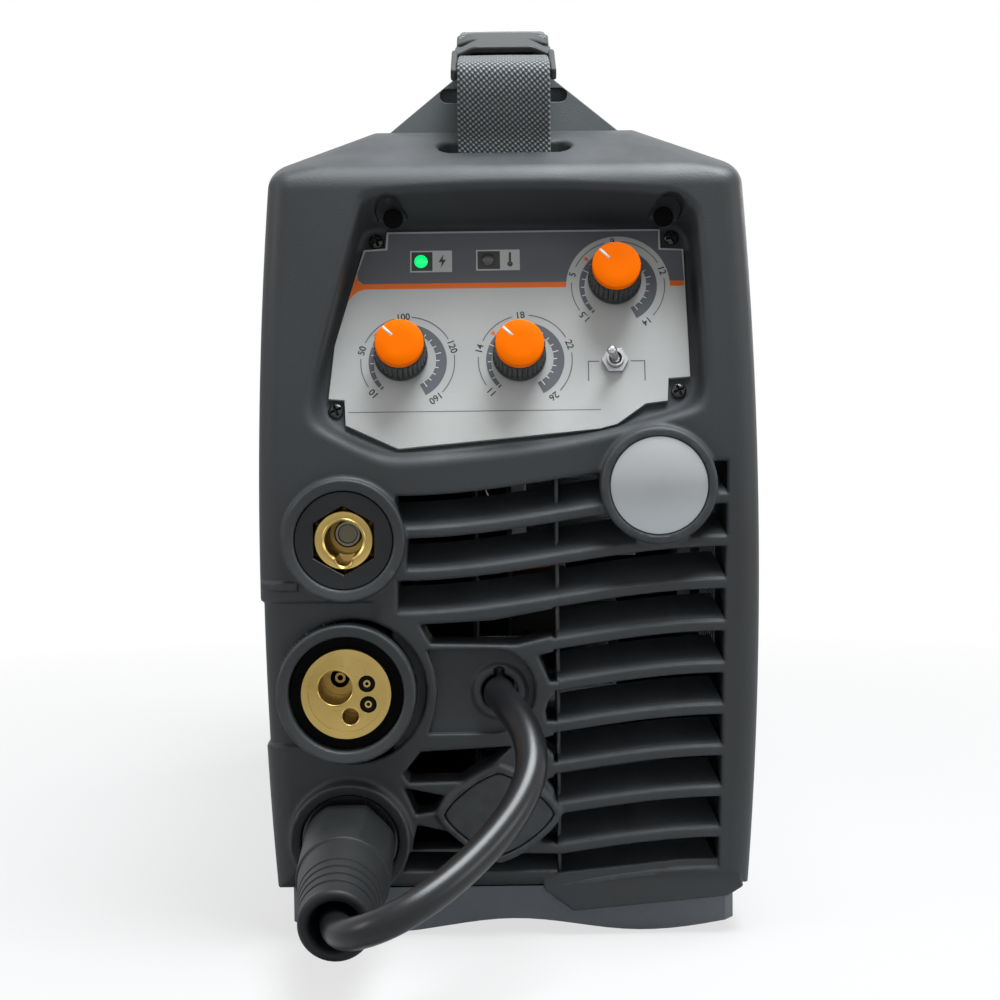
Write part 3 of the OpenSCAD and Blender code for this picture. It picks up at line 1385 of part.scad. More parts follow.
module spool_hub() {
  color(black_plastic) translate([hub_x, spool_y, spool_z]) rotate([0, -90, 0]) {
    tube(hub_d / 2, spindle_r + running_gap, hub_l);
    tube(hub_d / 2 + 7, hub_d / 2 - 1, 3);
    translate([0, hub_d / 2 + 4, 0]) cylinder(r = 2, h = 12);
  }
}

hose_r = 3.5;
hose_bend = 20;
hose_z = base_floor + 15;
hose_y = clamp_y0 - 6.5;
hose_top = torch_z - torch_d / 2 + 1.5;
valve_foot_y = -rim_y - 11;

module gas_valve() {
  color(steel) {
    translate([inlet_at[0] - 12, -rim_y - 10, inlet_at[1] - 12]) cube([24, valve_back + rim_y + 10, 24]);
    translate([inlet_at[0] - 8, valve_foot_y, base_floor]) cube([16, 10, inlet_at[1] - 12 - base_floor + 1]);
    translate([inlet_at[0], -rim_y + 6, inlet_at[1] + 11]) cylinder(r = 9, h = 24);
  }
}

module gas_hose() {
  color(black_plastic) translate([inlet_at[0], 0, 0]) {
    translate([0, hose_y + hose_bend, hose_z]) rotate([-90, 0, 0]) cylinder(r = hose_r, h = valve_foot_y - hose_y - hose_bend);
    translate([0, hose_y + hose_bend, hose_z + hose_bend]) rotate([0, 90, 0]) rotate([0, 0, 180]) mirror([1, 0, 0])
      rotate_extrude(angle = 90) translate([hose_bend, 0]) circle(r = hose_r);
    translate([0, hose_y, hose_z + hose_bend]) cylinder(r = hose_r, h = hose_top - hose_z - hose_bend);
  }
}

// ---- Power electronics ----
power_x = 0;
power_t = 1.6;
power_y0 = -50;
power_y1 = 152;

module power_board() {
  color(board_green) {
    translate([power_x, power_y0, 28]) cube([power_t, power_y1 - power_y0, 204]);
    for (y = [power_y0 + 8, power_y1 - 8], z = [36, 224]) along_x(-divider_x, power_x + 0.5, y, z, 3);
    for (y = [-28, 6, 40]) along_x(power_x + 1, power_x + 40, y, 206, 14);
    translate([power_x + 1, 70, 196]) cube([24, 40, 24]);
  }
}

fin_step = 8;
module heat_sinks() {
  color(steel) for (y = [power_y0 + 4, power_y0 + 90]) translate([0, y, 0]) {
    translate([power_x + power_t, 0, 120]) cube([6, 80, 66]);
    for (i = [0 : 8]) translate([power_x + power_t + 5, 0, 120 + i * fin_step]) cube([46, 80, 2]);
  }
}

module transformer() {
  color([0.3, 0.2, 0.12]) translate([power_x + power_t, -36, 40]) {
    cube([44, 56, 60]);
    translate([6, -6, 12]) cube([32, 68, 36]);
  }
}

module output_choke() {
  color([0.45, 0.25, 0.15]) translate([power_x + power_t, 92, 72]) rotate([0, 90, 0]) tube(32, 14, 26);
}

front_bezel();
control_panel();
panel_screws();
case_screws();
potentiometers();
power_lamp();
fault_lamp();
toggle_body();
toggle_nut();
toggle_lever();
current_knob();
current_cap();
voltage_knob();
voltage_cap();
speed_knob();
speed_cap();
badge_dome();
blank_cap();
socket_insulators();
socket_inserts();
torch_block();
torch_insulator();
torch_contacts();
inner_lead();
polarity_lead();
plug_boot();
plug_pin();
strap();
buckle_socket();
buckle_prongs();
handle_towers();
main_cover();
side_door();
hinge_pins();
front_latch();
rear_latch();
base_tray();
rubber_feet();
divider();
rear_bezel();
switch_frame();
switch_rocker();
mains_gland();
gas_inlet();
fan_frame();
fan_rotor();
feeder_frame();
feed_motor();
drive_roll();
pressure_arm();
pressure_roll();
tension_knob();
spool_hub();
gas_valve();
gas_hose();
control_board();
power_board();
heat_sinks();
transformer();
output_choke();
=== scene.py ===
"""Looks of a portable MIG welding machine: finer forms and finishes over the pieces of the frame. Lengths in mm."""

import json
import math

import bmesh
import bpy
import numpy as np
from mathutils import Matrix, Vector

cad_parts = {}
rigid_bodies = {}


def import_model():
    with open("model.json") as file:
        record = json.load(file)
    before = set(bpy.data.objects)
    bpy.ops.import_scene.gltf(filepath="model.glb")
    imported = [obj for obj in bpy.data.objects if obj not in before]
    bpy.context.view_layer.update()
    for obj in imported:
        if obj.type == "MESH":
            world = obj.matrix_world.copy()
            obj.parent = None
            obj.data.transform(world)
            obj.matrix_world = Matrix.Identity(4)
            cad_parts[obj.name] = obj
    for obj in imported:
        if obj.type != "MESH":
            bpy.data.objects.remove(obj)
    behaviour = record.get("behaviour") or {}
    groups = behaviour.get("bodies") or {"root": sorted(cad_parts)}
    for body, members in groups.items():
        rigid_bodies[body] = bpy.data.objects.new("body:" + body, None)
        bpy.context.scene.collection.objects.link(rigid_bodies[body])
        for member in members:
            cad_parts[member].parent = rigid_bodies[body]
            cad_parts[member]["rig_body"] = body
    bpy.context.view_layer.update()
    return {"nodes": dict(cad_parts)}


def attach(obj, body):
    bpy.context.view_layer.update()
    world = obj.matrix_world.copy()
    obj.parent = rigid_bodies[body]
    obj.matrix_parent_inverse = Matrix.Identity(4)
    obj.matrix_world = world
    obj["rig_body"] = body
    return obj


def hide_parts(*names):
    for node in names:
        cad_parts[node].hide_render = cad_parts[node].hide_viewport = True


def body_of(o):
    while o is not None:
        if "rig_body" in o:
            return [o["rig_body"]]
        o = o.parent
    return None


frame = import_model()
nodes = frame["nodes"]
MM = 0.001
rad = math.radians


def placed(name, data):
    """A new object of the scene with that data."""
    obj = bpy.data.objects.new(name, data)
    bpy.context.collection.objects.link(obj)
    return obj


# ---------------------------------------------------------------- camera and lamps
camera = placed("camera", bpy.data.cameras.new("camera"))
camera.data.lens = 82.84
camera.data.sensor_width = 36.0
camera.data.clip_start = 0.02
camera.data.clip_end = 60.0
camera.matrix_world = (
    Matrix.Translation((-0.003, -0.9936, 0.204))
    @ Matrix.Rotation(rad(90 - 3.655), 4, "X")
    @ Matrix.Rotation(rad(-0.7), 4, "Z")
)
bpy.context.scene.camera = camera
bpy.context.scene.view_settings.view_transform = "Standard"


def area_lamp(name, place, target, size, power, colour=(1, 1, 1)):
    """A square soft lamp at a place in metres, turned to a target."""
    data = bpy.data.lights.new(name, "AREA")
    data.shape = "SQUARE"
    data.size = size
    data.energy = power
    data.color = colour
    aim = Vector(target) - Vector(place)
    placed(name, data).matrix_world = Matrix.Translation(place) @ aim.to_track_quat("-Z", "Y").to_matrix().to_4x4()


area_lamp("top softbox", (0.22, -0.34, 1.3), (0, -0.12, 0.2), 0.7, 32, (0.92, 0.97, 1.0))
area_lamp("left softbox", (-1.5, -0.75, 0.75), (0, -0.1, 0.15), 0.6, 5)
area_lamp("right softbox", (1.5, -0.7, 0.45), (0, -0.05, 0.15), 0.5, 3.5, (1.0, 0.97, 0.93))
area_lamp("rear wash", (1.5, 1.4, 0.8), (0, 0.1, 0.15), 1.0, 12)


# ---------------------------------------------------------------- shader nodes
def add(tree, kind, **settings):
    """A node of that kind; keys with a capital letter are inputs, the others are the node's own settings."""
    node = tree.nodes.new("ShaderNode" + kind)
    for key, value in settings.items():
        if key[0].isupper():
            node.inputs[key.replace("_", " ")].default_value = value
        else:
            setattr(node, key, value)
    return node


def math_node(tree, operation, a, b=None):
    """A Math node on two values, each a socket or a plain number."""
    node = add(tree, "Math", operation=operation)
    for k, value in enumerate((a, b)):
        if value is None:
            continue
        if isinstance(value, (int, float)):
            node.inputs[k].default_value = value
        else:
            tree.links.new(value, node.inputs[k])
    return node.outputs[0]


def span(tree, value, low, high, out_low=0.0, out_high=1.0):
    """The value's stretch from low to high spread over another stretch, held at its ends."""
    node = add(tree, "MapRange", clamp=True)
    tree.links.new(value, node.inputs["Value"])
    for label, number in (("From Min", low), ("From Max", high), ("To Min", out_low), ("To Max", out_high)):
        node.inputs[label].default_value = number
    return node.outputs["Result"]


def object_place(tree, stretch=(1, 1, 1)):
    """Object coordinates, stretched along the three axes."""
    coords = add(tree, "TexCoord")
    if stretch == (1, 1, 1):
        return coords.outputs["Object"]
    mapping = add(tree, "Mapping", Scale=stretch)
    tree.links.new(coords.outputs["Object"], mapping.inputs["Vector"])
    return mapping.outputs["Vector"]


def noise(tree, place, scale, detail=2.0, rough=0.5):
    """A noise value at a place, with its own scale per metre."""
    node = add(tree, "TexNoise", Scale=scale, Detail=detail, Roughness=rough)
    tree.links.new(place, node.inputs["Vector"])
    return node.outputs["Fac"]


def rays(tree, *kinds):
    """1 for rays of any of those kinds, 0 for the others."""
    path = add(tree, "LightPath")
    found = path.outputs[kinds[0]]
    for kind in kinds[1:]:
        found = math_node(tree, "MAXIMUM", found, path.outputs[kind])
    return found


def mix_shaders(tree, share, one, other, output):
    """One shader mixed with another by a share, and linked to the tree's output."""
    node = add(tree, "MixShader")
    for k, value in enumerate((share, one.outputs[0], other.outputs[0])):
        tree.links.new(value, node.inputs[k])
    tree.links.new(node.outputs[0], tree.nodes[output].inputs["Surface"])


# ---------------------------------------------------------------- world and floor
world = bpy.data.worlds.new("studio")
bpy.context.scene.world = world
world.use_nodes = True
wt = world.node_tree
sky = wt.nodes["Background"]
sky.inputs["Color"].default_value = (0.96, 0.98, 1.0, 1)
sky.inputs["Strength"].default_value = 0.16
# plain white for the camera, for reflections and through clear pieces, a dim sky as light
mix_shaders(wt, rays(wt, "Is Camera Ray", "Is Glossy Ray", "Is Transmission Ray"), sky,
            add(wt, "Background", Color=(1, 1, 1, 1), Strength=1.0), "World Output")

floor_mesh = bpy.data.meshes.new("floor")
floor_mesh.from_pydata([(-8, -8, 0), (8, -8, 0), (8, 30, 0), (-8, 30, 0)], [], [(0, 1, 2, 3)])
floor = placed("floor", floor_mesh)
floor_paint = bpy.data.materials.new("floor white")
floor_paint.use_nodes = True
ft = floor_paint.node_tree
lit = ft.nodes["Principled BSDF"]
for label, number in (("Base Color", (0.5, 0.5, 0.5, 1)), ("Roughness", 0.9), ("Specular IOR Level", 0.1)):
    lit.inputs[label].default_value = number
# for the camera, white by seven tenths up to 0.2 m from the middle, and wholly white from 0.7 m on
reach = add(ft, "VectorMath", operation="LENGTH")
ft.links.new(object_place(ft), reach.inputs[0])
fade = span(ft, reach.outputs["Value"], 0.2, 0.7, 0.7, 1.0)
mix_shaders(ft, math_node(ft, "MULTIPLY", fade, rays(ft, "Is Camera Ray")), lit, add(ft, "Emission"),
            "Material Output")
floor_mesh.materials.append(floor_paint)


# ---------------------------------------------------------------- finishes: shared node groups
def group(name, *outputs):
    """An empty node group that gives plain values, and its output node."""
    tree = bpy.data.node_groups.new(name, "ShaderNodeTree")
    for label in outputs:
        tree.interface.new_socket(label, in_out="OUTPUT", socket_type="NodeSocketFloat")
    return tree, tree.nodes.new("NodeGroupOutput")


def make_grain():
    """Moulded plastic grain: fine pits of two sizes, and broad soft blotches of handling."""
    tree, out = group("moulded grain", "Height", "Blotch")
    place = object_place(tree)
    pits = add(tree, "TexVoronoi", Scale=1500.0, Randomness=1.0)
    tree.links.new(place, pits.inputs["Vector"])
    fine = noise(tree, place, 2600.0)
    height = math_node(tree, "ADD", math_node(tree, "MULTIPLY", pits.outputs["Distance"], 0.6), fine)
    tree.links.new(height, out.inputs["Height"])
    tree.links.new(span(tree, noise(tree, place, 16.0, 3.0), 0.3, 0.7), out.inputs["Blotch"])
    return tree


def make_dust():
    """Dust that lies on what faces upwards, in patches."""
    tree, out = group("settled dust", "Mask")
    normal = add(tree, "NewGeometry")
    split = add(tree, "SeparateXYZ")
    tree.links.new(normal.outputs["Normal"], split.inputs[0])
    upward = span(tree, split.outputs["Z"], 0.25, 0.95)
    patches = span(tree, noise(tree, object_place(tree), 60.0, 4.0, 0.6), 0.35, 0.7)
    tree.links.new(math_node(tree, "MULTIPLY", upward, patches), out.inputs["Mask"])
    return tree


def make_scuff():
    """Thin random scratches: stretched noise in two directions, kept only where it peaks."""
    tree, out = group("scuffs", "Mask")
    one = noise(tree, object_place(tree, (1, 1, 9)), 130.0, 3.0, 0.6)
    two = noise(tree, object_place(tree, (8, 1, 1)), 110.0, 3.0, 0.6)
    tree.links.new(span(tree, math_node(tree, "MAXIMUM", one, two), 0.66, 0.74), out.inputs["Mask"])
    return tree


def make_edge_highlight():
    """A painted highlight: convex edges painted lighter, broken up by noise."""
    tree, out = group("painted edge highlight", "Mask")
    shape = add(tree, "NewGeometry")
    bare = span(tree, shape.outputs["Pointiness"], 0.52, 0.6)
    broken = span(tree, noise(tree, object_place(tree), 220.0, 3.0), 0.35, 0.6)
    tree.links.new(math_node(tree, "MULTIPLY", bare, broken), out.inputs["Mask"])
    return tree


def make_brush():
    """Fine drawn lines along X, for drawn and rolled metal."""
    tree, out = group("drawn lines", "Height", "Blotch")
    tree.links.new(noise(tree, object_place(tree, (0.02, 1, 1)), 2600.0, 3.0), out.inputs["Height"])
    tree.links.new(span(tree, noise(tree, object_place(tree), 30.0, 3.0), 0.3, 0.7), out.inputs["Blotch"])
    return tree


def make_weave():
    """Webbing from its own map: a staggered pattern of yarn knots, 0.5 + 0.5 sin(across) sin(along), and fine yarn.
    The height is also given out as painted light: raised yarn lighter as a sheen, the hollows darker as shade.
    """
    tree, out = group("webbing weave", "Height", "Painted sheen and shade")
    uv = add(tree, "UVMap", uv_map="weave")
    split = add(tree, "SeparateXYZ")
    tree.links.new(uv.outputs[0], split.inputs[0])
    across = math_node(tree, "MULTIPLY", split.outputs["X"], math.pi * 33)
    along = math_node(tree, "MULTIPLY", split.outputs["Y"], math.pi / 0.95)
    lean = math_node(tree, "MULTIPLY", across, 0.18)
    both = math_node(tree, "MULTIPLY", math_node(tree, "SINE", across),
                     math_node(tree, "SINE", math_node(tree, "ADD", along, lean)))
    knot = math_node(tree, "ADD", math_node(tree, "MULTIPLY", both, 0.5), 0.5)
    yarn = noise(tree, object_place(tree), 2200.0, 2.0)
    height = math_node(tree, "ADD", knot, math_node(tree, "MULTIPLY", yarn, 0.2))
    tree.links.new(height, out.inputs["Height"])
    # painted sheen on the raised yarn and painted shade in the hollows, from the weave's height
    tree.links.new(span(tree, height, 0.5, 1.05), out.inputs["Painted sheen and shade"])
    return tree


GRAIN, DUST, SCUFF, EDGE, BRUSH, WEAVE = (
    make_grain(), make_dust(), make_scuff(), make_edge_highlight(), make_brush(), make_weave()
)


def use_group(tree, which):
    """A shared node group put to use in a material."""
    return add(tree, "Group", node_tree=which)


def blend_colour(tree, mask, low, high):
    """Mixes two colours (plain or sockets) by a mask."""
    node = add(tree, "Mix", data_type="RGBA")
    tree.links.new(mask, node.inputs["Factor"])
    for label, value in (("A", low), ("B", high)):
        sock = [s for s in node.inputs if s.name == label and s.type == "RGBA"][0]
        if isinstance(value, tuple):
            sock.default_value = (*value, 1)
        else:
            tree.links.new(value, sock)
    return [s for s in node.outputs if s.type == "RGBA"][0]


def finish(name, low, high, rough, pattern=GRAIN, bump=0.04, dust=None, scuff=None, edge=None, **shader):
    """A surface finish: two shades by the pattern's second output (close blotches for most; for the webbing the
    weave's painted sheen and shade), roughness from low to high with it, relief from the pattern's height (bump in
    mm), then dust, scuffs and a painted highlight on convex edges as colours on top."""
    mat = bpy.data.materials.new(name)
    mat.use_nodes = True
    tree = mat.node_tree
    bsdf = tree.nodes["Principled BSDF"]
    for key, value in shader.items():
        bsdf.inputs[key.replace("_", " ")].default_value = value
    made = use_group(tree, pattern)
    # second output: random blotches for most patterns; for the webbing, the weave's painted sheen and shade
    blotch_and_weave_light = made.outputs[1]
    colour = blend_colour(tree, blotch_and_weave_light, low, high)
    # the edge colour is a painted highlight on convex edges; dust and scuffs are marks of use
    for which, paint in ((SCUFF, scuff), (DUST, dust), (EDGE, edge)):
        if paint:
            extra = use_group(tree, which)
            colour = blend_colour(tree, math_node(tree, "MULTIPLY", extra.outputs[0], paint[3]), colour, paint[:3])
    tree.links.new(colour, bsdf.inputs["Base Color"])
    tree.links.new(span(tree, blotch_and_weave_light, 0.0, 1.0, *rough), bsdf.inputs["Roughness"])
    relief = add(tree, "Bump", Strength=1.0, Distance=bump * MM)
    tree.links.new(made.outputs[0], relief.inputs["Height"])
    tree.links.new(relief.outputs["Normal"], bsdf.inputs["Normal"])
    return mat


# the edge colour here is a painted highlight on the convex edges
charcoal_plastic = finish("charcoal plastic", (0.026, 0.028, 0.030), (0.034, 0.037, 0.040), (0.46, 0.58), bump=0.05,
                          dust=(0.085, 0.09, 0.095, 0.4), edge=(0.12, 0.125, 0.13, 0.35), Specular_IOR_Level=0.35)
tower_plastic = finish("tower plastic", (0.07, 0.078, 0.082), (0.085, 0.093, 0.097), (0.46, 0.58), bump=0.05,
                       dust=(0.15, 0.155, 0.155, 0.3), Specular_IOR_Level=0.4)
case_paint = finish("charcoal powder paint", (0.030, 0.032, 0.035), (0.038, 0.040, 0.043), (0.42, 0.55), bump=0.11,
                    dust=(0.09, 0.09, 0.088, 0.35), scuff=(0.1, 0.1, 0.1, 0.3))
base_paint = finish("blue grey powder paint", (0.101, 0.113, 0.129), (0.120, 0.132, 0.148), (0.40, 0.52), bump=0.11,
                    dust=(0.16, 0.16, 0.155, 0.3), scuff=(0.2, 0.21, 0.22, 0.3))
# the edge colour here is a painted highlight on the convex edges
black_plastic = finish("black plastic", (0.012, 0.012, 0.013), (0.018, 0.018, 0.019), (0.32, 0.45), bump=0.03,
                       edge=(0.06, 0.06, 0.062, 0.4))
gloss_plastic = finish("glossy black plastic", (0.010, 0.010, 0.011), (0.015, 0.015, 0.016), (0.16, 0.26), bump=0.012,
                       scuff=(0.05, 0.05, 0.05, 0.3))
# matt near black: the torch insulator's own colour, and on the case screws a painted shade that stands for the dark of
# their deep niches
matt_black_and_niche_shade = finish("matt black plastic and painted niche shade", (0.003, 0.003, 0.003), (0.005, 0.005, 0.005), (0.7, 0.8), bump=0.02,
                    dust=(0.02, 0.02, 0.02, 0.2), Specular_IOR_Level=0.08)
buckle_plastic = finish("buckle plastic", (0.030, 0.032, 0.032), (0.042, 0.045, 0.044), (0.38, 0.5), bump=0.02,
                        scuff=(0.09, 0.09, 0.09, 0.3), Specular_IOR_Level=0.22)
rubber = finish("black rubber", (0.011, 0.012, 0.013), (0.016, 0.017, 0.018), (0.42, 0.56), bump=0.04,
                dust=(0.035, 0.036, 0.036, 0.25), Specular_IOR_Level=0.2)
lead_jacket = finish("lead jacket", (0.006, 0.006, 0.007), (0.010, 0.010, 0.011), (0.28, 0.36), bump=0.012,
                     scuff=(0.05, 0.05, 0.05, 0.15), Specular_IOR_Level=0.35)
satin_panel = finish("satin silver panel", (0.40, 0.405, 0.395), (0.43, 0.435, 0.425), (0.42, 0.5), bump=0.02,
                     scuff=(0.5, 0.5, 0.5, 0.2), Metallic=0.35)
orange_plastic = finish("orange plastic", (0.80, 0.13, 0.0), (0.86, 0.15, 0.0), (0.5, 0.6), bump=0.02,
                        Specular_IOR_Level=0.03)
silver_dome = finish("silver dome", (0.40, 0.41, 0.42), (0.45, 0.46, 0.47), (0.3, 0.4), bump=0.012, Metallic=0.75,
                     scuff=(0.3, 0.3, 0.3, 0.2))
brass = finish("brass", (0.42, 0.29, 0.09), (0.54, 0.39, 0.14), (0.26, 0.42), pattern=BRUSH, bump=0.02, Metallic=1.0,
               scuff=(0.2, 0.13, 0.05, 0.5))
steel = finish("bright steel", (0.42, 0.42, 0.43), (0.52, 0.52, 0.53), (0.22, 0.36), pattern=BRUSH, bump=0.008,
               Metallic=1.0, scuff=(0.2, 0.2, 0.2, 0.3))
# the edge colour here is a painted highlight on the convex edges
dull_steel = finish("dull steel", (0.13, 0.12, 0.09), (0.2, 0.185, 0.14), (0.35, 0.5), bump=0.02, Metallic=1.0,
                    edge=(0.4, 0.4, 0.38, 0.4))
aluminium = finish("aluminium", (0.55, 0.56, 0.57), (0.63, 0.64, 0.65), (0.34, 0.46), pattern=BRUSH, bump=0.015,
                   Metallic=1.0, scuff=(0.3, 0.3, 0.3, 0.3))
copper_coil = finish("varnished copper", (0.36, 0.13, 0.05), (0.45, 0.18, 0.07), (0.25, 0.4), pattern=BRUSH,
                     bump=0.05, Metallic=0.8)
ferrite = finish("ferrite and tape", (0.02, 0.019, 0.018), (0.05, 0.045, 0.03), (0.4, 0.6), bump=0.05)
board = finish("board lacquer", (0.006, 0.04, 0.02), (0.009, 0.055, 0.027), (0.3, 0.4), bump=0.02)
green_lamp = finish("lit green lamp", (0.0, 0.5, 0.08), (0.0, 0.6, 0.1), (0.12, 0.2), bump=0.004,
                    Emission_Strength=1.0, Emission_Color=(0.0, 0.95, 0.2, 1))
grey_lamp = finish("dark lamp", (0.075, 0.075, 0.072), (0.095, 0.095, 0.09), (0.12, 0.2), bump=0.004)
print_dark, print_black, print_light, print_orange = (
    finish(name + " print", low, high, (0.45, 0.55), bump=0.006) for name, low, high in (
        ("dark grey", (0.098, 0.102, 0.116), (0.110, 0.114, 0.128)),
        ("black", (0.026, 0.026, 0.027), (0.034, 0.034, 0.035)),
        ("light", (0.60, 0.61, 0.60), (0.65, 0.66, 0.65)),
        ("orange", (0.95, 0.165, 0.01), (0.98, 0.19, 0.014))))
# webbing: near black in the hollows of the weave and light grey on the raised yarn, a painted shade and sheen
webbing = finish("webbing", (0.014, 0.015, 0.016), (0.25, 0.27, 0.28), (0.8, 0.55), pattern=WEAVE, bump=0.35,
                 Sheen_Weight=0.15, Sheen_Roughness=0.5)


# ---------------------------------------------------------------- meshes from arrays
def add_mesh(name, points, faces, body, paint, node=None, weld=True, turn=True, sharp=35):
    """An object from an n by 3 array of places in mm and an m by k array of corners. Close points become one, and the
    faces are turned outwards. It rides on the body and stands for the node, if one is given."""
    mesh = bpy.data.meshes.new(name)
    points = np.ascontiguousarray(points, np.float32).reshape(-1, 3)
    faces = np.ascontiguousarray(faces, np.int32)
    mesh.vertices.add(len(points))
    mesh.vertices.foreach_set("co", (points * MM).ravel())
    mesh.loops.add(faces.size)
    mesh.polygons.add(len(faces))
    mesh.polygons.foreach_set("loop_start", np.arange(0, faces.size, faces.shape[1], dtype=np.int32))
    mesh.polygons.foreach_set("vertices", faces.ravel())
    mesh.update(calc_edges=True)
    if weld or turn:
        work = bmesh.new()
        work.from_mesh(mesh)
        if weld:
            bmesh.ops.remove_doubles(work, verts=work.verts, dist=1e-6)
        if turn:
            bmesh.ops.recalc_face_normals(work, faces=work.faces)
        work.to_mesh(mesh)
        work.free()
    mesh.shade_smooth()
    if sharp:
        mesh.set_sharp_from_angle(angle=rad(sharp))
    mesh.materials.append(paint)
    obj = placed(name, mesh)
    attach(obj, body)
    if node:
        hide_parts(*([node] if isinstance(node, str) else node))
    return obj


def painted(mesh, paint):
    """Leaves that paint alone on the mesh."""
    mesh.materials.clear()
    mesh.materials.append(paint)


def thicken(obj, thickness):
    """Some thickness in mm below a flat print, so that it is a closed piece."""
    layer = obj.modifiers.new("ink", "SOLIDIFY")
    layer.thickness = thickness * MM
    layer.offset = -1


def grid(rows, cols, loop_rows=False, loop_cols=False):
    """Corners of the quads of a rows by cols grid of points, joined round where asked."""
    r = np.arange(rows if loop_rows else rows - 1)[:, None]
    c = np.arange(cols if loop_cols else cols - 1)[None, :]
    r1, c1 = (r + 1) % rows, (c + 1) % cols
    return np.stack([r * cols + c, r * cols + c1, r1 * cols + c1, r1 * cols + c], -1).reshape(-1, 4)


def outward(points, at, lean=0.0):
    """Local places (across, up the face, out of the face), put at a spot of the front that leans by some degrees."""
    p = np.asarray(points, float)
    c, s = math.cos(rad(lean)), math.sin(rad(lean))
    return np.stack(
        [at[0] + p[..., 0], at[1] - p[..., 1] * s - p[..., 2] * c, at[2] + p[..., 1] * c - p[..., 2] * s], -1
    )


# a spot on the control panel's plane, and the plane's lean in degrees
PANEL = ((0.0, -207.0, 177.0), -17.5)


def lathe(profile, turns=64, wobble=None):
    """A profile of (radius, height) rows turned round the height axis: place = (r cos a, r sin a, h), where the
    radius may also change with the angle and the row."""
    profile = np.asarray(profile, float)
    a = np.linspace(0, 2 * np.pi, turns, endpoint=False)[None, :]
    r = profile[:, :1] + (wobble(profile, a) if wobble else 0 * a)
    return np.stack([r * np.cos(a), r * np.sin(a), profile[:, 1:] + 0 * a], -1)


def turned(name, profile, at, lean, body, paint, node=None, turns=64, wobble=None, sharp=35):
    """A turned piece at a spot of the front, its axis leaning by some degrees."""
    points = lathe(profile, turns, wobble)
    return add_mesh(name, outward(points, at, lean), grid(*points.shape[:2], loop_cols=True), body, paint, node,
                    sharp=sharp)


SHARP_FROM = rad(30)


def soften(name, paint, width):
    """The CAD piece with its sharp edges rounded: a copy, merged, its flat facets joined, and a live round."""
    source = nodes[name]
    mesh = source.data.copy()
    mesh.name = name + "_dress"
    work = bmesh.new()
    work.from_mesh(mesh)
    bmesh.ops.remove_doubles(work, verts=work.verts, dist=5e-6)
    bmesh.ops.dissolve_limit(work, angle_limit=rad(1.0), verts=work.verts, edges=work.edges)
    work.to_mesh(mesh)
    work.free()
    mesh.shade_smooth()
    mesh.set_sharp_from_angle(angle=SHARP_FROM)
    painted(mesh, paint)
    obj = placed(name + "_dress", mesh)
    if width:
        bevel = obj.modifiers.new("round", "BEVEL")
        bevel.width = width * MM
        bevel.segments = 2
        bevel.limit_method = "ANGLE"
        bevel.angle_limit = SHARP_FROM
        bevel.harden_normals = True
        bevel.use_clamp_overlap = True
    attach(obj, body_of(source)[0])
    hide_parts(name)
    return obj


# ---------------------------------------------------------------- front bezel as one field of distances
def soft_and(a, b, r):
    """Where both fields are inside, with the edge between them rounded by r."""
    return np.minimum(-r, np.maximum(a, b)) + np.hypot(np.maximum(a + r, 0), np.maximum(b + r, 0))


def soft_or(a, b, r):
    """Where either field is inside, with a fillet of radius r between them."""
    return np.maximum(r, np.minimum(a, b)) - np.hypot(np.maximum(r - a, 0), np.maximum(r - b, 0))


def soft_cut(a, b, r):
    """The first field with the second cut out of it, the edge rounded by r."""
    return soft_and(a, -b, r)


def outline_distance(outline, u, v):
    """Distance to a closed outline, negative inside: the least distance to its edges, signed by counting crossings."""
    p = np.asarray(outline, float)
    q = np.roll(p, -1, axis=0)
    best = np.full(np.broadcast(u, v).shape, 1e9)
    inside = np.zeros(best.shape, bool)
    for (ax, ay), (bx, by) in zip(p, q):
        ex, ey = bx - ax, by - ay
        wx, wy = u - ax, v - ay
        t = np.clip((wx * ex + wy * ey) / (ex * ex + ey * ey), 0, 1)
        best = np.minimum(best, (wx - t * ex) ** 2 + (wy - t * ey) ** 2)
        if ey:
            inside ^= ((ay > v) != (by > v)) & (u < ax + ex * (v - ay) / ey)
    return np.where(inside, -1, 1) * np.sqrt(best)


class Stencil:
    """Distance to a set of outlines, worked out once on a fine square lattice and read between its points."""

    def __init__(self, outlines, low, high, step=0.5):
        u = np.arange(low[0], high[0] + step, step)
        v = np.arange(low[1], high[1] + step, step)
        uu, vv = np.meshgrid(u, v, indexing="ij")
        table = np.full(uu.shape, 1e9)
        for outline in outlines:
            table = np.minimum(table, outline_distance(outline, uu, vv))
        self.table, self.low, self.step = table, low, step

    def __call__(self, a, b):
        a = (a - self.low[0]) / self.step
        b = (b - self.low[1]) / self.step
        rows, cols = self.table.shape
        i = np.clip(np.floor(a), 0, rows - 2).astype(np.int64)
        j = np.clip(np.floor(b), 0, cols - 2).astype(np.int64)
        s, t = np.clip(a - i, 0, 1), np.clip(b - j, 0, 1)
        tab = self.table
        return (
            (1 - s) * (1 - t) * tab[i, j] + s * (1 - t) * tab[i + 1, j]
            + (1 - s) * t * tab[i, j + 1] + s * t * tab[i + 1, j + 1]
        )


TOP, FOOT, RIM_Y, EDGE_R, WALL = 284.0, 17.0, -160.0, 8.0, 3.0
FACE_Y, FACE_Z, BULGE = -212.0, 168.0, 1900.0
# the bar that holds the strap, and the plastic left standing round it
BAR_Y, BAR_Z = -186.0, 264.5
BAR_HOUSING = ((-25.9, -194, 256.5), (25.9, -178, 300))
NICHE_Y, NICHE_R = -187, 4.8
# how far back the openings of either face are cut
THROUGH_Y = -182


def half_width(z):
    """Half of the width at a height: the sides are bowed."""
    return 86 - 4.5 * ((z - 128) / 129) ** 2


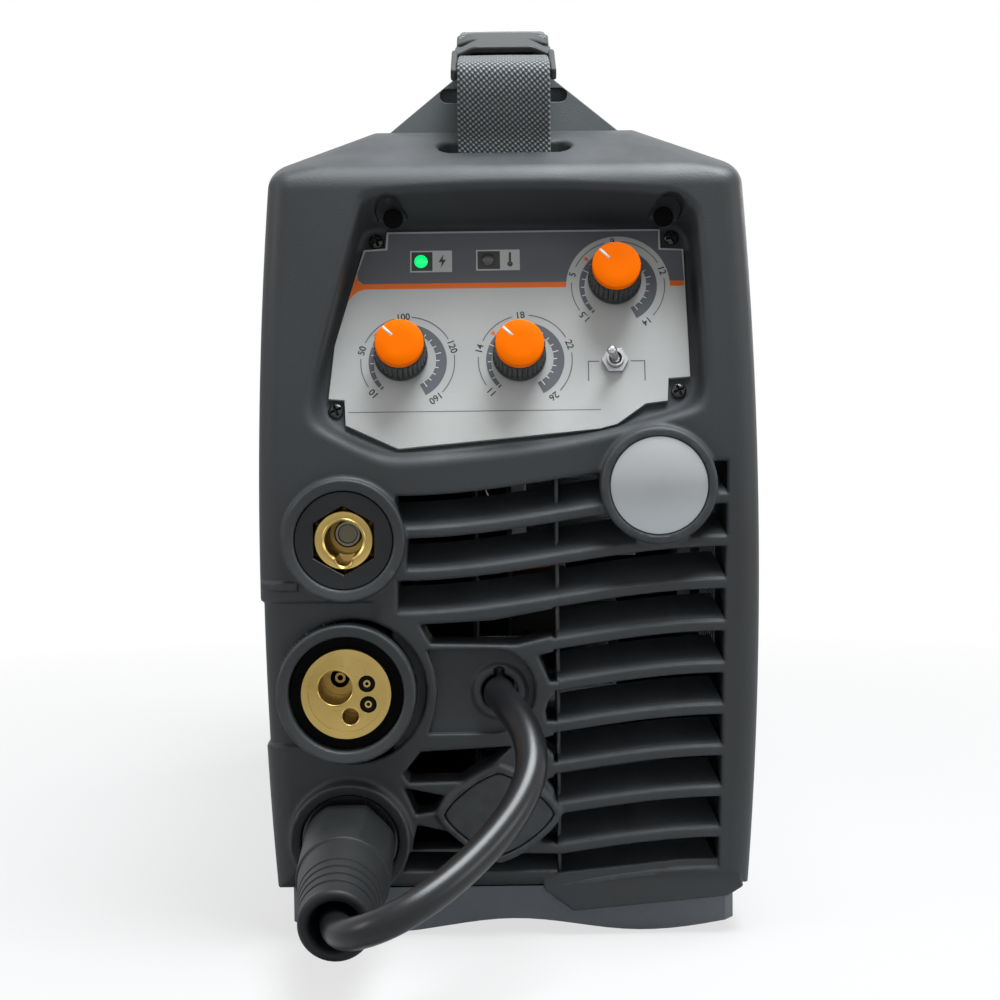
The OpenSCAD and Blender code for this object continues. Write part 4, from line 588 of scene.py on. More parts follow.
def face_y(z):
    """Depth of the bulging front face at a height."""
    return FACE_Y + (z - FACE_Z) ** 2 / BULGE


def bezel_outline():
    """The upright outline: bowed sides, an arc of radius 8.5 over 65.4 degrees at each shoulder, and a flat top."""
    z = np.linspace(FOOT, 262.5, 30)
    a = np.radians(np.linspace(0, 65.4, 14)[1:])
    x0 = half_width(262.5) - 8.5
    arc = np.stack([x0 + 8.5 * np.cos(a), 262.5 + 8.5 * np.sin(a)], -1)
    top = [[arc[-1, 0] - (TOP - arc[-1, 1]) * math.tan(rad(65.4)), TOP]]
    right = np.concatenate([np.stack([half_width(z), z], -1), arc, top])
    return np.concatenate([right, right[::-1] * [-1, 1]])


RIB = (15.6, 17.0)
ROWS, PITCH, SLOT_H = 10, 14.6, 10.7


def row_top(i, x):
    """Upper edge of a louvre slot: level at both ends, falling by half a cosine wave between them."""
    return 166.5 - PITCH * i - 10.8 * (1 - np.cos(np.pi * np.clip((74 - x) / 112, 0, 1))) / 2


def slot_outlines():
    """The ten slots right of the rib, three of them running on to the left, and the odd ones between the collars."""
    found = []
    for i in range(ROWS):
        left = (-38.6, -35.0, -38.3)[i] if i < 3 else RIB[0] - 1
        x = np.linspace(left, 74.4 - 0.3 * i, 18)
        up = np.stack([x, row_top(i, x)], -1)
        found.append(np.concatenate([up, up[::-1] - [0, SLOT_H]]))
    x = RIB[0] + 0.6
    found += [
        [[-31, 111.4], [-27.5, 104.8], [2, 104], [x, 107.3], [x, 116.6], [-6, 112.6]],
        [[9.6, 100.2], [13.4, 91], [x, 91], [x, 101.8]],
        [[11.8, 80.4], [13, 84.6], [x, 87.2], [x, 77.4], [12.4, 77]],
        [[-31.4, 66.8], [-37.6, 59], [-35.6, 55.8], [-15.4, 56.2], [-8, 60.8], [0, 68.4]],
        [[9.4, 70.6], [x, 72.6], [x, 63.2]],
        [[12, 56.4], [x, 58], [x, 50]],
        [[7.6, 34.4], [x, 41.8], [x, 33.4]],
        [[-37.4, 54], [-23.6, 51], [-26, 45.6], [-33.4, 44.4]],
        [[-33, 40.6], [-22, 38], [-15, 32.4], [-35.4, 31.4]],
        [[-37.6, 31], [x, 29.6], [x, 23.6], [-38.4, 23.6]],
    ]
    return found


PANEL_FLOOR = [[-52, 76], [62.5, 76], [66, 72], [66.5, 14], [60, 6], [28, -2.5], [-38, -8.5], [-60, 1], [-65, 9],
               [-62, 34]]
PANEL_RIM = [[-49, 91], [-26, 93.5], [0, 94.5], [32, 93.2], [61, 90], [66, 85], [69.5, 24], [67, 16.5], [28, 5.5],
             [-19, -1], [-41, -2], [-67.5, 12], [-69.5, 19], [-57, 61]]
WINDOW = [[-43, 65.4], [52, 65.4], [55.5, 22], [47, 15], [22, 8], [-34, 4], [-51, 15], [-46, 46]]


def pocket_planes():
    """The flat faces of the smallest convex solid round the pocket's floor and rim, as unit normals and distances:
    every plane through three of the points that has all the others on one side."""
    floor_low = outward(np.array([[x, s, -2.0] for x, s in PANEL_FLOOR]), *PANEL)
    floor_high = outward(np.array([[x, s, -1.0] for x, s in PANEL_FLOOR]), *PANEL)
    rim = np.array([[x, s] for x, s in PANEL_RIM])
    rims = [outward(np.column_stack([rim, np.full(len(rim), h)]), (0, -212.6, 168), -2.9) for h in (0.0, 3.0)]
    pts = np.concatenate([floor_low, floor_high, *rims])
    n = len(pts)
    i, j, k = np.array([(a, b, c) for a in range(n) for b in range(a) for c in range(b)]).T
    normal = np.cross(pts[j] - pts[i], pts[k] - pts[i])
    size = np.linalg.norm(normal, axis=1)
    keep = size > 1.0
    normal, i = normal[keep] / size[keep, None], i[keep]
    reach = pts @ normal.T - np.sum(pts[i] * normal, axis=1)[None, :]
    high, low = reach.max(0), reach.min(0)
    out = high < 1e-4
    flip = low > -1e-4
    normal = np.concatenate([normal[out], -normal[flip]])
    i = np.concatenate([i[out], i[flip]])
    planes = np.column_stack([normal, np.sum(pts[i] * normal, axis=1)])
    return planes[np.unique(np.round(planes, 2), axis=0, return_index=True)[1]]


def around(x, y, z, at, lean=0.0):
    """Places seen from a spot on the front: across, up the face, and out of it."""
    c, s = math.cos(rad(lean)), math.sin(rad(lean))
    dy, dz = y - at[1], z - at[2]
    return x - at[0], -dy * s + dz * c, -dy * c - dz * s


def plug_of(x, y, z, at, lean, radius, low, high=None, edge=0.0):
    """A round bar about an outward axis, from one height to another, its front edge rounded."""
    a, b, h = around(x, y, z, at, lean)
    body = np.hypot(a, b) - radius
    if high is not None:
        body = soft_and(body, h - high, edge) if edge else np.maximum(body, h - high)
    return np.maximum(body, low - h)


def block(x, y, z, low, high):
    """An upright box between two corners."""
    return np.maximum(
        np.maximum(np.maximum(low[0] - x, x - high[0]), np.maximum(low[1] - y, y - high[1])),
        np.maximum(low[2] - z, z - high[2]),
    )


def lozenge(wide, tall):
    """A diamond with round corners: |a/wide|^(4/3) + |b/tall|^(4/3) = 1."""
    t = np.radians(np.arange(0, 360, 6))
    c, s = np.cos(t), np.sin(t)
    return np.stack([wide * np.sign(c) * np.abs(c) ** 1.5, tall * np.sign(s) * np.abs(s) ** 1.5], -1)


DISH = 0.28


def collar(x, y, z, at, lean, radius, low):
    """A round collar whose front face falls towards its middle by DISH for each 1 inwards."""
    a, b, h = around(x, y, z, at, lean)
    r = np.hypot(a, b)
    return np.maximum(soft_and(r - radius, (h + DISH * (radius - r)) / math.hypot(1, DISH), 0.9), low - h)


UPPER, LOWER, TORCH = (-56.4, -216.0, 141.0), (-56.4, -207.774, 35.6), (-56.4, -216.0, 88.3)
BADGE, LEAD_HOLE, DIAMOND = (51.0, -217.5, 158.7), (-4.0, -206.26, 87.5), (-4.5, -205.35, 44.3)
LOWER_LEAN, PLATE_Y = 8, -204.66
CHIN = [[10, 22], [11, 16.4], [21, 8.8], [75, 13.6], [80.5, 17], [78, 27], [60, 27]]
PLATE = [[14.65 * math.cos(a) - 6.2, 14.65 * math.sin(a) + 87.9] for a in np.radians(np.arange(-90, 91, 10))] + [
    [-28.6, 102.55], [-26.4, 95.9], [-25.4, 87.9], [-26.4, 79.9], [-28.6, 73.25]]
NICHES = ((-39.0, 251.0), (55.0, 250.5))

side_table = Stencil([bezel_outline()], (-90, 5), (90, 290))
slot_table = Stencil(slot_outlines(), (-90, 5), (90, 290))
chin_table = Stencil([CHIN], (5, 2), (86, 34))
plate_table = Stencil([PLATE], (-36, 66), (16, 110))
window_table = Stencil([WINDOW], (-60, -5), (65, 75))
lozenge_rim = Stencil([lozenge(21.9, 17.8)], (-26, -22), (26, 22), 0.25)
lozenge_gap = Stencil([lozenge(19.15, 15.05)], (-26, -22), (26, 22), 0.25)
POCKET = pocket_planes()


def pocket_field(x, y, z):
    """Inside the panel's pocket: k log(sum of exp(distance to each plane / k)). It rounds the corners by about k."""
    k = 1.2
    total = 0.0
    for nx, ny, nz, d in POCKET:
        total = total + np.exp(np.clip((nx * x + ny * y + nz * z - d) / k, -40, 40))
    return k * np.log(total)


def outer_form(x, y, z):
    """Outside of both bezels: the upright outline, the bulging face, and a brow that leans back above 266."""
    brow = (-206.945 + 2.05 * (z - 266) - y) / 2.281
    return soft_and(side_table(x, z), soft_and(face_y(z) - y, brow, 5.0), EDGE_R)


def strap_slot(shell, x, y, z):
    """The shell with the strap's slot, the room below it, and the round bar across it."""
    across = np.hypot(np.maximum(np.abs(x) - 17.9, 0), y - BAR_Y) - 5
    shell = soft_cut(shell, np.maximum(across, 265.5 - z), 1.5)
    room = np.maximum(np.abs(x) - 19, np.maximum(np.abs(y - BAR_Y), np.abs(z - BAR_Z)) - 5.7)
    bar = np.maximum(np.hypot(y - BAR_Y, z - BAR_Z) - 2.5, np.abs(x) - 20)
    return np.minimum(np.maximum(shell, -room), bar)


def socket_bore(shell, x, y, z, at, lean):
    """The shell with a power socket's seat and its bore."""
    shell = soft_cut(shell, plug_of(x, y, z, at, lean, 17.0, -14), 0.6)
    return np.maximum(shell, -plug_of(x, y, z, at, lean, 15.0, -40))


def bezel_field(x, y, z):
    """Distance to the front bezel, negative in the plastic. A rounded shell, minus its hollow, the pocket, the
    louvre slots and the recesses, plus the collars and the chin, minus their bores. All formulas are those of the
    fields above, put together with soft edges. What lies at other heights is skipped."""
    low, high = float(np.min(z)), float(np.max(z))
    shell = outer_form(x, y, z)
    hollow = shell + WALL
    if low < 130 and high > 65:
        step = np.clip((z - 69.3) / 0.9, 0, 1) * np.clip((120.0 - z) / 0.9, 0, 1) * np.clip((-44 - x) / 4, 0, 1)
        shell = shell + 1.2 * step
        rib = np.maximum(np.maximum(-85.4 - x, x + 72.5), np.abs(z - 125.2) - 1.5)
        shell = np.where(rib < 1.0, soft_or(shell, soft_and(rib, shell - 0.9, 0.5), 0.5), shell)
    if low < 172:
        hollow = np.maximum(hollow, -block(x, y, z, (-41, -230, 10), (78, -186, 169)))
    if high > 160:
        pocket = pocket_field(x, y, z)
        hollow = np.maximum(hollow, WALL - pocket)
        shell = soft_cut(shell, pocket, 3.0)
    if high > 235:
        hollow = np.maximum(hollow, -block(x, y, z, *BAR_HOUSING))
        for nx, nz in NICHES:
            middle = (nx + math.copysign(0.7, nx), NICHE_Y, nz + 1.3)
            hollow = np.maximum(hollow, -plug_of(x, y, z, middle, 0, 8.6, -30, 30))
    shell = np.maximum(np.maximum(shell, y - RIM_Y), -hollow)
    if low < 172:
        slots = slot_table(x, z)
        face = face_y(z) - y
        rib = np.maximum(np.maximum(RIB[0] - x, x - RIB[1]), 4.5 - (y - (face + y)))
        cut = np.maximum(np.maximum(slots, y - THROUGH_Y), -rib)
        shell = soft_cut(shell, cut, 1.25)
        shell = soft_cut(shell, np.maximum(plate_table(x, z), y - PLATE_Y), 1.0)
        shell = soft_cut(shell, np.maximum(np.hypot(x + 54.2, z - 88.3) - 25.1, y + 204), 1.0)
    if low < 185:
        shell = soft_or(shell, collar(x, y, z, UPPER, 0, 20.9, -26), 1.6)
        shell = soft_or(shell, plug_of(x, y, z, BADGE, 0, 19.9, -26, 0, 1.3), 1.6)
        shell = socket_bore(shell, x, y, z, UPPER, 0)
        shell = soft_cut(shell, plug_of(x, y, z, BADGE, 0, 16.8, -3), 0.5)
    if low < 120:
        shell = np.minimum(shell, collar(x, y, z, TORCH, 0, 23.85, -28))
        shell = soft_cut(shell, plug_of(x, y, z, TORCH, 0, 19.8, -40), 0.6)
        a, b, h = around(x, y, z, LEAD_HOLE)
        r = np.hypot(a, b)
        boss = soft_and(r - 9.2, h, 1.4)
        shell = soft_or(shell, np.maximum(boss, -8 - h), 1.6)
        hole = np.minimum(r - 6.2, np.maximum(np.abs(a) - 1.8, np.maximum(-b, b - 8.2)))
        shell = soft_cut(shell, np.maximum(hole, -22 - h), 0.7)
    if low < 75:
        shell = soft_or(shell, collar(x, y, z, LOWER, LOWER_LEAN, 20.9, -26), 1.6)
        shell = socket_bore(shell, x, y, z, LOWER, LOWER_LEAN)
        a, b, h = around(x, y, z, DIAMOND, 7.4)
        shell = soft_or(shell, np.maximum(soft_and(lozenge_rim(a, b), h, 1.2), -16 - h), 1.2)
        shell = soft_cut(shell, np.maximum(lozenge_gap(a, b), -2.6 - h), 0.35)
        plate = soft_and(chin_table(x, z), np.maximum(-199.6 - y, y + 196.6), 0.7)
        shell = soft_or(shell, plate, 0.5)
    if high > 160:
        s = 0.3007 * (y + 207) + 0.9537 * (z - 177)
        h = -0.9537 * (y + 207) + 0.3007 * (z - 177)
        shell = np.maximum(shell, -np.maximum(window_table(x, s), np.maximum(-10 - h, h - 2)))
    if high > 235:
        shell = strap_slot(shell, x, y, z)
        for nx, nz in NICHES:
            lower = plug_of(x, y, z, (nx, NICHE_Y, nz), 0, NICHE_R, 0)
            upper = plug_of(x, y, z, (nx + math.copysign(1.4, nx), NICHE_Y, nz + 2.6), 0, NICHE_R, 0)
            shell = soft_cut(shell, np.minimum(lower, upper), 0.6)
    return shell


def surface_net(field, low, high, pitch):
    """The zero surface of a field: one point in each lattice cell that the surface crosses, at the mean of its
    crossings, and one quad round each crossed lattice edge, turned to face outwards."""
    axes = [np.arange(a, b + pitch, pitch) for a, b in zip(low, high)]
    shape = tuple(len(a) for a in axes)
    value = np.empty(shape, np.float32)
    step = 24
    for k in range(0, shape[2], step):
        part = axes[2][k:k + step]
        value[:, :, k:k + step] = field(axes[0][:, None, None], axes[1][None, :, None], part[None, None, :])
    inside = value < 0
    ids, spots, quads = [], [], []
    total = 0
    for axis in range(3):
        lower = [slice(None)] * 3
        upper = [slice(None)] * 3
        lower[axis], upper[axis] = slice(None, -1), slice(1, None)
        here, there = inside[tuple(lower)], inside[tuple(upper)]
        at = np.argwhere(here != there)
        fa = value[tuple(lower)][tuple(at.T)]
        fb = value[tuple(upper)][tuple(at.T)]
        spot = at.astype(float)
        spot[:, axis] += fa / (fa - fb)
        outgoing = here[tuple(at.T)]
        u, v = (axis + 1) % 3, (axis + 2) % 3
        cells = []
        for du, dv in ((0, 0), (-1, 0), (-1, -1), (0, -1)):
            cell = at.copy()
            cell[:, u] += du
            cell[:, v] += dv
            cells.append(np.ravel_multi_index(cell.T, shape))
        ids.append(np.concatenate(cells))
        spots.append(np.tile(spot, (4, 1)))
        count = len(at)
        quad = total + np.arange(count)[:, None] + count * np.arange(4)[None, :]
        quads.append(np.where(outgoing[:, None], quad, quad[:, ::-1]))
        total += 4 * count
    ids, spots, quads = np.concatenate(ids), np.concatenate(spots), np.concatenate(quads)
    _, where = np.unique(ids, return_inverse=True)
    where = where.ravel()
    count = np.bincount(where)
    mean = np.stack([np.bincount(where, spots[:, k]) / count for k in range(3)], -1)
    return mean * pitch + np.array(low), where[quads]


def field_at(field, points, chunk=60000):
    """The field at loose points, taken in order of height so that each share skips what lies elsewhere."""
    order = np.argsort(points[:, 2])
    value = np.empty(len(points))
    for k in range(0, len(points), chunk):
        part = order[k:k + chunk]
        value[part] = field(points[part, 0], points[part, 1], points[part, 2])
    return value


def slope_at(field, points, reach=0.3):
    """Gradient of the field by differences to both sides."""
    slope = np.empty_like(points)
    for k in range(3):
        move = np.zeros(3)
        move[k] = reach
        slope[:, k] = field_at(field, points + move) - field_at(field, points - move)
    return slope / (2 * reach)


def drawn_on(field, points, pitch, steps=2):
    """The points moved on to the zero surface by Newton steps, each held below a share of the pitch."""
    for _ in range(steps):
        slope = slope_at(field, points, 0.15)
        value = field_at(field, points)
        move = -(value / np.maximum(np.sum(slope ** 2, axis=1), 0.3))[:, None] * slope
        size = np.linalg.norm(move, axis=1, keepdims=True)
        points = points + move * np.minimum(1, 0.5 * pitch / np.maximum(size, 1e-9))
    return points


def field_piece(name, field, low, high, pitch, most, body, paint, node):
    """A closed piece from a field: its net, drawn on to the surface, thinned where it is flat, with the field's own
    slope as its normals."""
    points, quads = surface_net(field, low, high, pitch)
    points = drawn_on(field, points, pitch)
    rough = add_mesh(name + "_net", points, quads, body, paint, weld=False, turn=False, sharp=0)
    thin = rough.modifiers.new("thin", "DECIMATE")
    thin.ratio = min(1.0, most / (2 * len(quads)))
    done = rough.evaluated_get(bpy.context.evaluated_depsgraph_get())
    mesh = bpy.data.meshes.new_from_object(done)
    co = np.empty(len(mesh.vertices) * 3, np.float32)
    mesh.vertices.foreach_get("co", co)
    co = co.reshape(-1, 3).astype(float) / MM
    old = rough.data
    bpy.data.objects.remove(rough)
    bpy.data.meshes.remove(old)
    mesh.shade_smooth()
    normal = slope_at(field, co)
    normal /= np.maximum(np.linalg.norm(normal, axis=1, keepdims=True), 1e-9)
    mesh.normals_split_custom_set_from_vertices(normal)
    painted(mesh, paint)
    obj = placed(name, mesh)
    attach(obj, body)
    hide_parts(node)


BEZEL_PITCH = 0.95
field_piece("front_bezel_dress", bezel_field, (-88, -221.3, 6.4), (88, -157.5, 286.4), BEZEL_PITCH, 196000, "case",
            charcoal_plastic, "front_bezel")


def box_2d(x, z, middle, half):
    """Distance to an upright rectangle seen from the front."""
    return np.maximum(np.abs(x - middle[0]) - half[0], np.abs(z - middle[1]) - half[1])


FAN_AT, FAN_R = (30, 150), 42.5
SWITCH_AT, SWITCH_SEAT_Y = (-38, 222), -209.32
GLAND_HOLE, INLET_HOLE = (36, 62, 8.2), (-56.4, 60, 5.2)


def rear_field(x, y, z):
    """Distance to the rear bezel: the front's rounded shell turned half a turn, minus the fan's nine slots (each as
    long as a circle of FAN_R leaves it), the switch's seat, the gland's and the inlet's holes, the strap's slot and
    the two screw niches."""
    low, high = float(np.min(z)), float(np.max(z))
    u, v = -x, -y
    out = outer_form(u, v, z)
    hollow = out + WALL
    if high > 235:
        hollow = np.maximum(hollow, -block(u, v, z, *BAR_HOUSING))
        for nx, nz in NICHES:
            hollow = np.maximum(hollow, -plug_of(u, v, z, (nx, NICHE_Y, nz), 0, 6.8, -4, 30))
    shell = np.maximum(np.maximum(out, v - RIM_Y), -hollow)
    if low < 200 and high > 100:
        for row in range(9):
            rise = 9.0 * (row - 4)
            half = math.sqrt(FAN_R ** 2 - (abs(rise) + 2.5) ** 2)
            slot = box_2d(x, z, (FAN_AT[0], FAN_AT[1] + rise), (half, 2.5))
            shell = soft_cut(shell, np.maximum(slot, v - THROUGH_Y), 0.7)
    shell = np.maximum(shell, -np.maximum(box_2d(x, z, SWITCH_AT, (14.3, 16.3)), v - SWITCH_SEAT_Y))
    shell = np.maximum(shell, -np.maximum(box_2d(x, z, SWITCH_AT, (12, 14)), v - THROUGH_Y))
    for mx, mz, r in (GLAND_HOLE, INLET_HOLE):
        shell = soft_cut(shell, np.maximum(np.hypot(x - mx, z - mz) - r, v - THROUGH_Y), 0.4)
    if high > 235:
        shell = strap_slot(shell, u, v, z)
        for nx, nz in NICHES:
            shell = soft_cut(shell, plug_of(u, v, z, (nx, NICHE_Y, nz), 0, NICHE_R, 0), 0.6)
    return shell


field_piece("rear_bezel_dress", rear_field, (-88, 157.5, 14.4), (88, 214.3, 286.4), 1.1, 120000,
            "case", charcoal_plastic, "rear_bezel")


def blades():
    """The ten louvre blades and a flatter one in the lowest opening. Each is a thin closed section in depth and
    height, carried along its slot's lower lip: place = (x, face depth at the lip + t, lip height + h). The right
    ends of the ten are cut back by half of the height, so that a dark wedge is left open there."""
    section = np.array([
        (0.9, -1.6), (0.6, -0.6), (0.9, 0.0), (1.5, 0.4), (4.5, 2.35), (7.5, 4.25), (10.5, 6.2), (13.2, 7.9),
        (13.6, 7.75), (13.5, 7.2), (11.0, 5.2), (8.0, 3.2), (5.0, 1.2), (2.6, -0.6), (1.8, -1.6)])
    t, h = section[None, :, 0], section[None, :, 1]
    points, faces, base = [], [], 0
    for i in range(ROWS + 1):
        left = (-39.8, -36.2, -39.5)[i] if i < 3 else RIB[0] + 0.4
        share = np.linspace(0, 1, 40)[:, None]
        if i < ROWS:
            x = left + (74.6 - 0.3 * i - 0.5 * np.maximum(h, 0) - left) * share
            lip, rise = row_top(i, x) - SLOT_H, h
        else:
            x = -39.2 + 54.6 * share + 0 * h
            lip, rise = 23.6 + 0 * x, 0.62 * h
        whole = capped(np.stack([x + 0 * t, face_y(lip) + t, lip + rise], -1))
        points.append(whole.reshape(-1, 3))
        faces.append(grid(*whole.shape[:2], loop_cols=True) + base)
        base += whole.shape[0] * whole.shape[1]
    return np.concatenate(points), np.concatenate(faces)


def capped(points):
    """The grid with its first and last ring drawn to their middles, so that the ends are closed."""
    first, last = points[:1].mean(1, keepdims=True), points[-1:].mean(1, keepdims=True)
    return np.concatenate([first + 0 * points[:1], points, last + 0 * points[-1:]])


add_mesh("louvre_blades", *blades(), "case", charcoal_plastic, sharp=50)


# ---------------------------------------------------------------- polarity lead
LEAD_D = 10.5
LEAD_ROUTE = np.array([
    (-4, -206, 87.5), (-4, -214, 87.5), (-2.5, -222, 87), (-0.5, -230, 85.8), (2, -237.5, 83.4), (4.5, -244.5, 80),
    (6, -251.5, 75.5), (6, -258.5, 70.2), (4.2, -264.5, 65), (1.2, -270, 60), (-3, -275.5, 55), (-8, -281, 50.2),
    (-13.5, -286.5, 45.8), (-19, -291.8, 42), (-25, -296.6, 38.4), (-31, -300.2, 35.2), (-37.4, -302, 32),
    (-43.6, -301.2, 29.2), (-49, -297.6, 26.9), (-53, -291.8, 25.4), (-55.4, -285, 25), (-56.3, -277.5, 25.8),
    (-56.4, -269, 27), (-56.4, -252, 29.4), (-56.4, -234.511, 31.842)], float)


def spline(points, spacing):
    """A natural cubic spline through the points by chord length, read at even steps."""
    gap = np.linalg.norm(np.diff(points, axis=0), axis=1)
    t = np.concatenate([[0], np.cumsum(gap)])
    n = len(points)
    left = np.zeros((n, n))
    right = np.zeros((n, 3))
    left[0, 0] = left[-1, -1] = 1
    for i in range(1, n - 1):
        left[i, i - 1:i + 2] = gap[i - 1], 2 * (gap[i - 1] + gap[i]), gap[i]
        right[i] = 6 * ((points[i + 1] - points[i]) / gap[i] - (points[i] - points[i - 1]) / gap[i - 1])
    bend = np.linalg.solve(left, right)
    s = np.linspace(0, t[-1], int(t[-1] / spacing) + 1)
    k = np.clip(np.searchsorted(t, s, side="right") - 1, 0, n - 2)
    h = gap[k][:, None]
    a = (t[k + 1] - s)[:, None]
    b = (s - t[k])[:, None]
    return (
        (bend[k] * a ** 3 + bend[k + 1] * b ** 3) / (6 * h)
        + (points[k] / h - bend[k] * h / 6) * a + (points[k + 1] / h - bend[k + 1] * h / 6) * b
    )


def swept(line, section):
    """A closed section carried along a line without twist: place = p + u n + v b, where the side vector n is the
    last one made square to the line's direction again."""
    way = np.gradient(line, axis=0)
    way /= np.linalg.norm(way, axis=1, keepdims=True)
    side = np.empty_like(line)
    last = np.array([1.0, 0, 0])
    for i, d in enumerate(way):
        last = last - (last @ d) * d
        last /= np.linalg.norm(last)
        side[i] = last
    third = np.cross(way, side)
    u, v = section.T
    return line[:, None, :] + u[None, :, None] * side[:, None, :] + v[None, :, None] * third[:, None, :]


lead_line = spline(LEAD_ROUTE, 1.5)
around_lead = np.linspace(0, 2 * np.pi, 32, endpoint=False)
lead_skin = capped(swept(lead_line, LEAD_D / 2 * np.stack([np.cos(around_lead), np.sin(around_lead)], -1)))
lead = add_mesh("polarity_lead_jacket", lead_skin, grid(*lead_skin.shape[:2], loop_cols=True), "case", lead_jacket,
                "polarity_lead")

# ---------------------------------------------------------------- plug boot
def boot_profile():
    """Rows of (radius, height) along the boot: a straight front, a small step, a long cone with four grooves, and a
    thick rounded lip at its mouth, then down the inside."""
    z = np.concatenate([[0.6, 0.8, 1.2, 1.8], np.arange(3, 36.5, 0.6), [36.6, 36.9, 37.1, 37.4]])
    r = 15.7 - 1.2 * np.clip((1.8 - z) / 1.2, 0, 1) ** 2 - 0.75 * np.clip((z - 36.5) / 0.6, 0, 1)
    zc = np.arange(38, 71.9, 0.35)
    rc = 14.9 + (11.9 - 14.9) * (zc - 38) / 34
    for i in range(4):
        rc = rc - 0.95 * np.exp(-((zc - 51.5 - 5.2 * i) / 0.6) ** 4)
    a = np.radians(np.arange(0, 181, 15))
    lip = np.stack([10.1 + 1.9 * np.cos(a), 74 + 1.9 * np.sin(a)], -1)
    bore = [[8.0, 70], [6.15, 62], [6.15, 27]]
    return np.concatenate([[[6.45, 0.6]], np.stack([r, z], -1), np.stack([rc, zc], -1), lip, bore, [[6.45, 0.6]]])


def boot_wobble(profile, a):
    """Two flats in the round front, on the top and to the right of it: the radius is held below d / cos(angle from
    the flat's middle), up to a height of its own."""
    z = profile[:, 1:]
    cut = 0 * (a + z)
    for middle, d, end in ((91, 14.1, 26.0), (44, 14.3, 34.5)):
        off = np.radians((np.degrees(a) - middle + 180) % 360 - 180)
        flat = d / np.maximum(np.cos(off), 0.3) - profile[:, :1]
        cut = np.minimum(cut, flat * np.clip((end - z) / 0.5, 0, 1))
    return np.where((profile[:, :1] > 12.5) & (z < 36.7), cut, 0.0)


boot = turned("plug_boot_rubber", boot_profile(), LOWER, LOWER_LEAN, "plug", rubber, "plug_boot", turns=96,
              wobble=boot_wobble, sharp=40)
pin = soften("plug_pin", brass, 0.5)


# ---------------------------------------------------------------- knobs, lamps, screws and dome
KNOBS = {"current": (-36.5, 27.6), "voltage": (4.3, 27.0), "speed": (37.7, 54.4)}


def flutes(profile, a):
    """Thirty grooves round the skirt: the radius falls by 0.6 (1 - |sin(15 a)|^0.7), above the plain foot."""
    z = profile[:, 1:]
    deep = np.clip((z - 2.6) / 0.8, 0, 1) * (profile[:, :1] > 6)
    return -0.6 * deep * (1 - np.abs(np.sin(15 * a)) ** 0.7)


for name, (kx, ks) in KNOBS.items():
    spot = outward(np.array([kx, ks, 0.0]), *PANEL)
    skirt = [[0, -8], [3, -8], [3, 0.8], [9.05, 0.8], [9.25, 1.0], [9.2, 2.2], [8.95, 2.6], [8.85, 3.4]] + [
        [8.85, z] for z in np.arange(4.2, 12.8, 0.8)] + [[8.8, 12.9], [8.55, 13.35], [0, 13.4]]
    turned(name + "_skirt", skirt, spot, PANEL[1], name + "_dial", black_plastic, name + "_knob", 240, flutes, 30)
    cap = [[0, 13.4], [8.3, 13.4], [8.35, 13.5], [8.35, 15.3], [8.2, 15.75], [7.8, 16.0], [4, 16.04], [0, 16.05]]
    turned(name + "_cap_dress", cap, spot, PANEL[1], name + "_dial", orange_plastic, name + "_cap", 72)
    mark = np.array([[-0.45, 3.4, 16.06], [0.45, 3.4, 16.06], [0.45, 7.9, 16.03], [-0.45, 7.9, 16.03]])
    turn = rad(45)
    mark[:, 0], mark[:, 1] = (
        mark[:, 0] * math.cos(turn) - mark[:, 1] * math.sin(turn),
        mark[:, 0] * math.sin(turn) + mark[:, 1] * math.cos(turn),
    )
    mark[:, :2] += [kx, ks]
    stroke = add_mesh(name + "_pointer", outward(mark, *PANEL), [[0, 1, 2, 3]], name + "_dial", print_light,
                      weld=False, turn=False)
    thicken(stroke, 0.08)

for name, (lx, ls), paint in (("power_lamp", (-29.5, 61.9), green_lamp), ("fault_lamp", (-6.2, 62.3), grey_lamp)):
    spot = outward(np.array([lx, ls, 0.0]), *PANEL)
    a = np.radians(np.arange(0, 91, 15))
    dome = [[0, -12.4], [2.3, -12.4], [2.3, 0.4]] + [[2.3 * math.cos(t), 0.4 + 1.1 * math.sin(t)] for t in a]
    turned(name + "_glass", dome, spot, PANEL[1], "case", paint, name, 40)


def cross_head(name, at, lean, radius, height, body, paint, shank, node=None):
    """A pan head with a cross recess. On a polar grid the height is height (1 - 0.38 (r/R)^4), less a cross whose
    depth falls off from the middle; below it a plain shank of (radius, length)."""
    r = np.concatenate([np.linspace(0, radius, 26), [radius, shank[0], shank[0], 0]])[:, None]
    a = np.linspace(0, 2 * np.pi, 96, endpoint=False)[None, :]
    x, y = r * np.cos(a + 0.4), r * np.sin(a + 0.4)
    u, v = x * math.cos(0.4) + y * math.sin(0.4), -x * math.sin(0.4) + y * math.cos(0.4)
    reach = 0.62 * radius
    arm = np.minimum(np.hypot(np.maximum(np.abs(u) - reach, 0), v), np.hypot(u, np.maximum(np.abs(v) - reach, 0)))
    cross = np.clip(1.15 - arm / (0.16 * radius), 0, 1) * (0.75 - 0.35 * np.hypot(u, v) / radius)
    h = height * (1 - 0.38 * (r / radius) ** 4 * np.ones_like(a) - cross)
    h[-4:-2] = 0.0
    h[-2:] = -shank[1]
    points = np.stack([x, y, h], -1)
    return add_mesh(name, outward(points, at, lean), grid(*points.shape[:2], loop_cols=True), body, paint, node,
                    sharp=28)


screw_spots = [(-45.2, 70), (58, 70.2), (59, 14.4), (-59, 8.6)]
for k, (sx, ss) in enumerate(screw_spots):
    cross_head("panel_screw_%d" % (k + 1), outward(np.array([sx, ss, -2.0]), *PANEL), PANEL[1], 2.6, 1.6, "case",
               gloss_plastic, (1.2, 4), "panel_screws" if k == 0 else None)

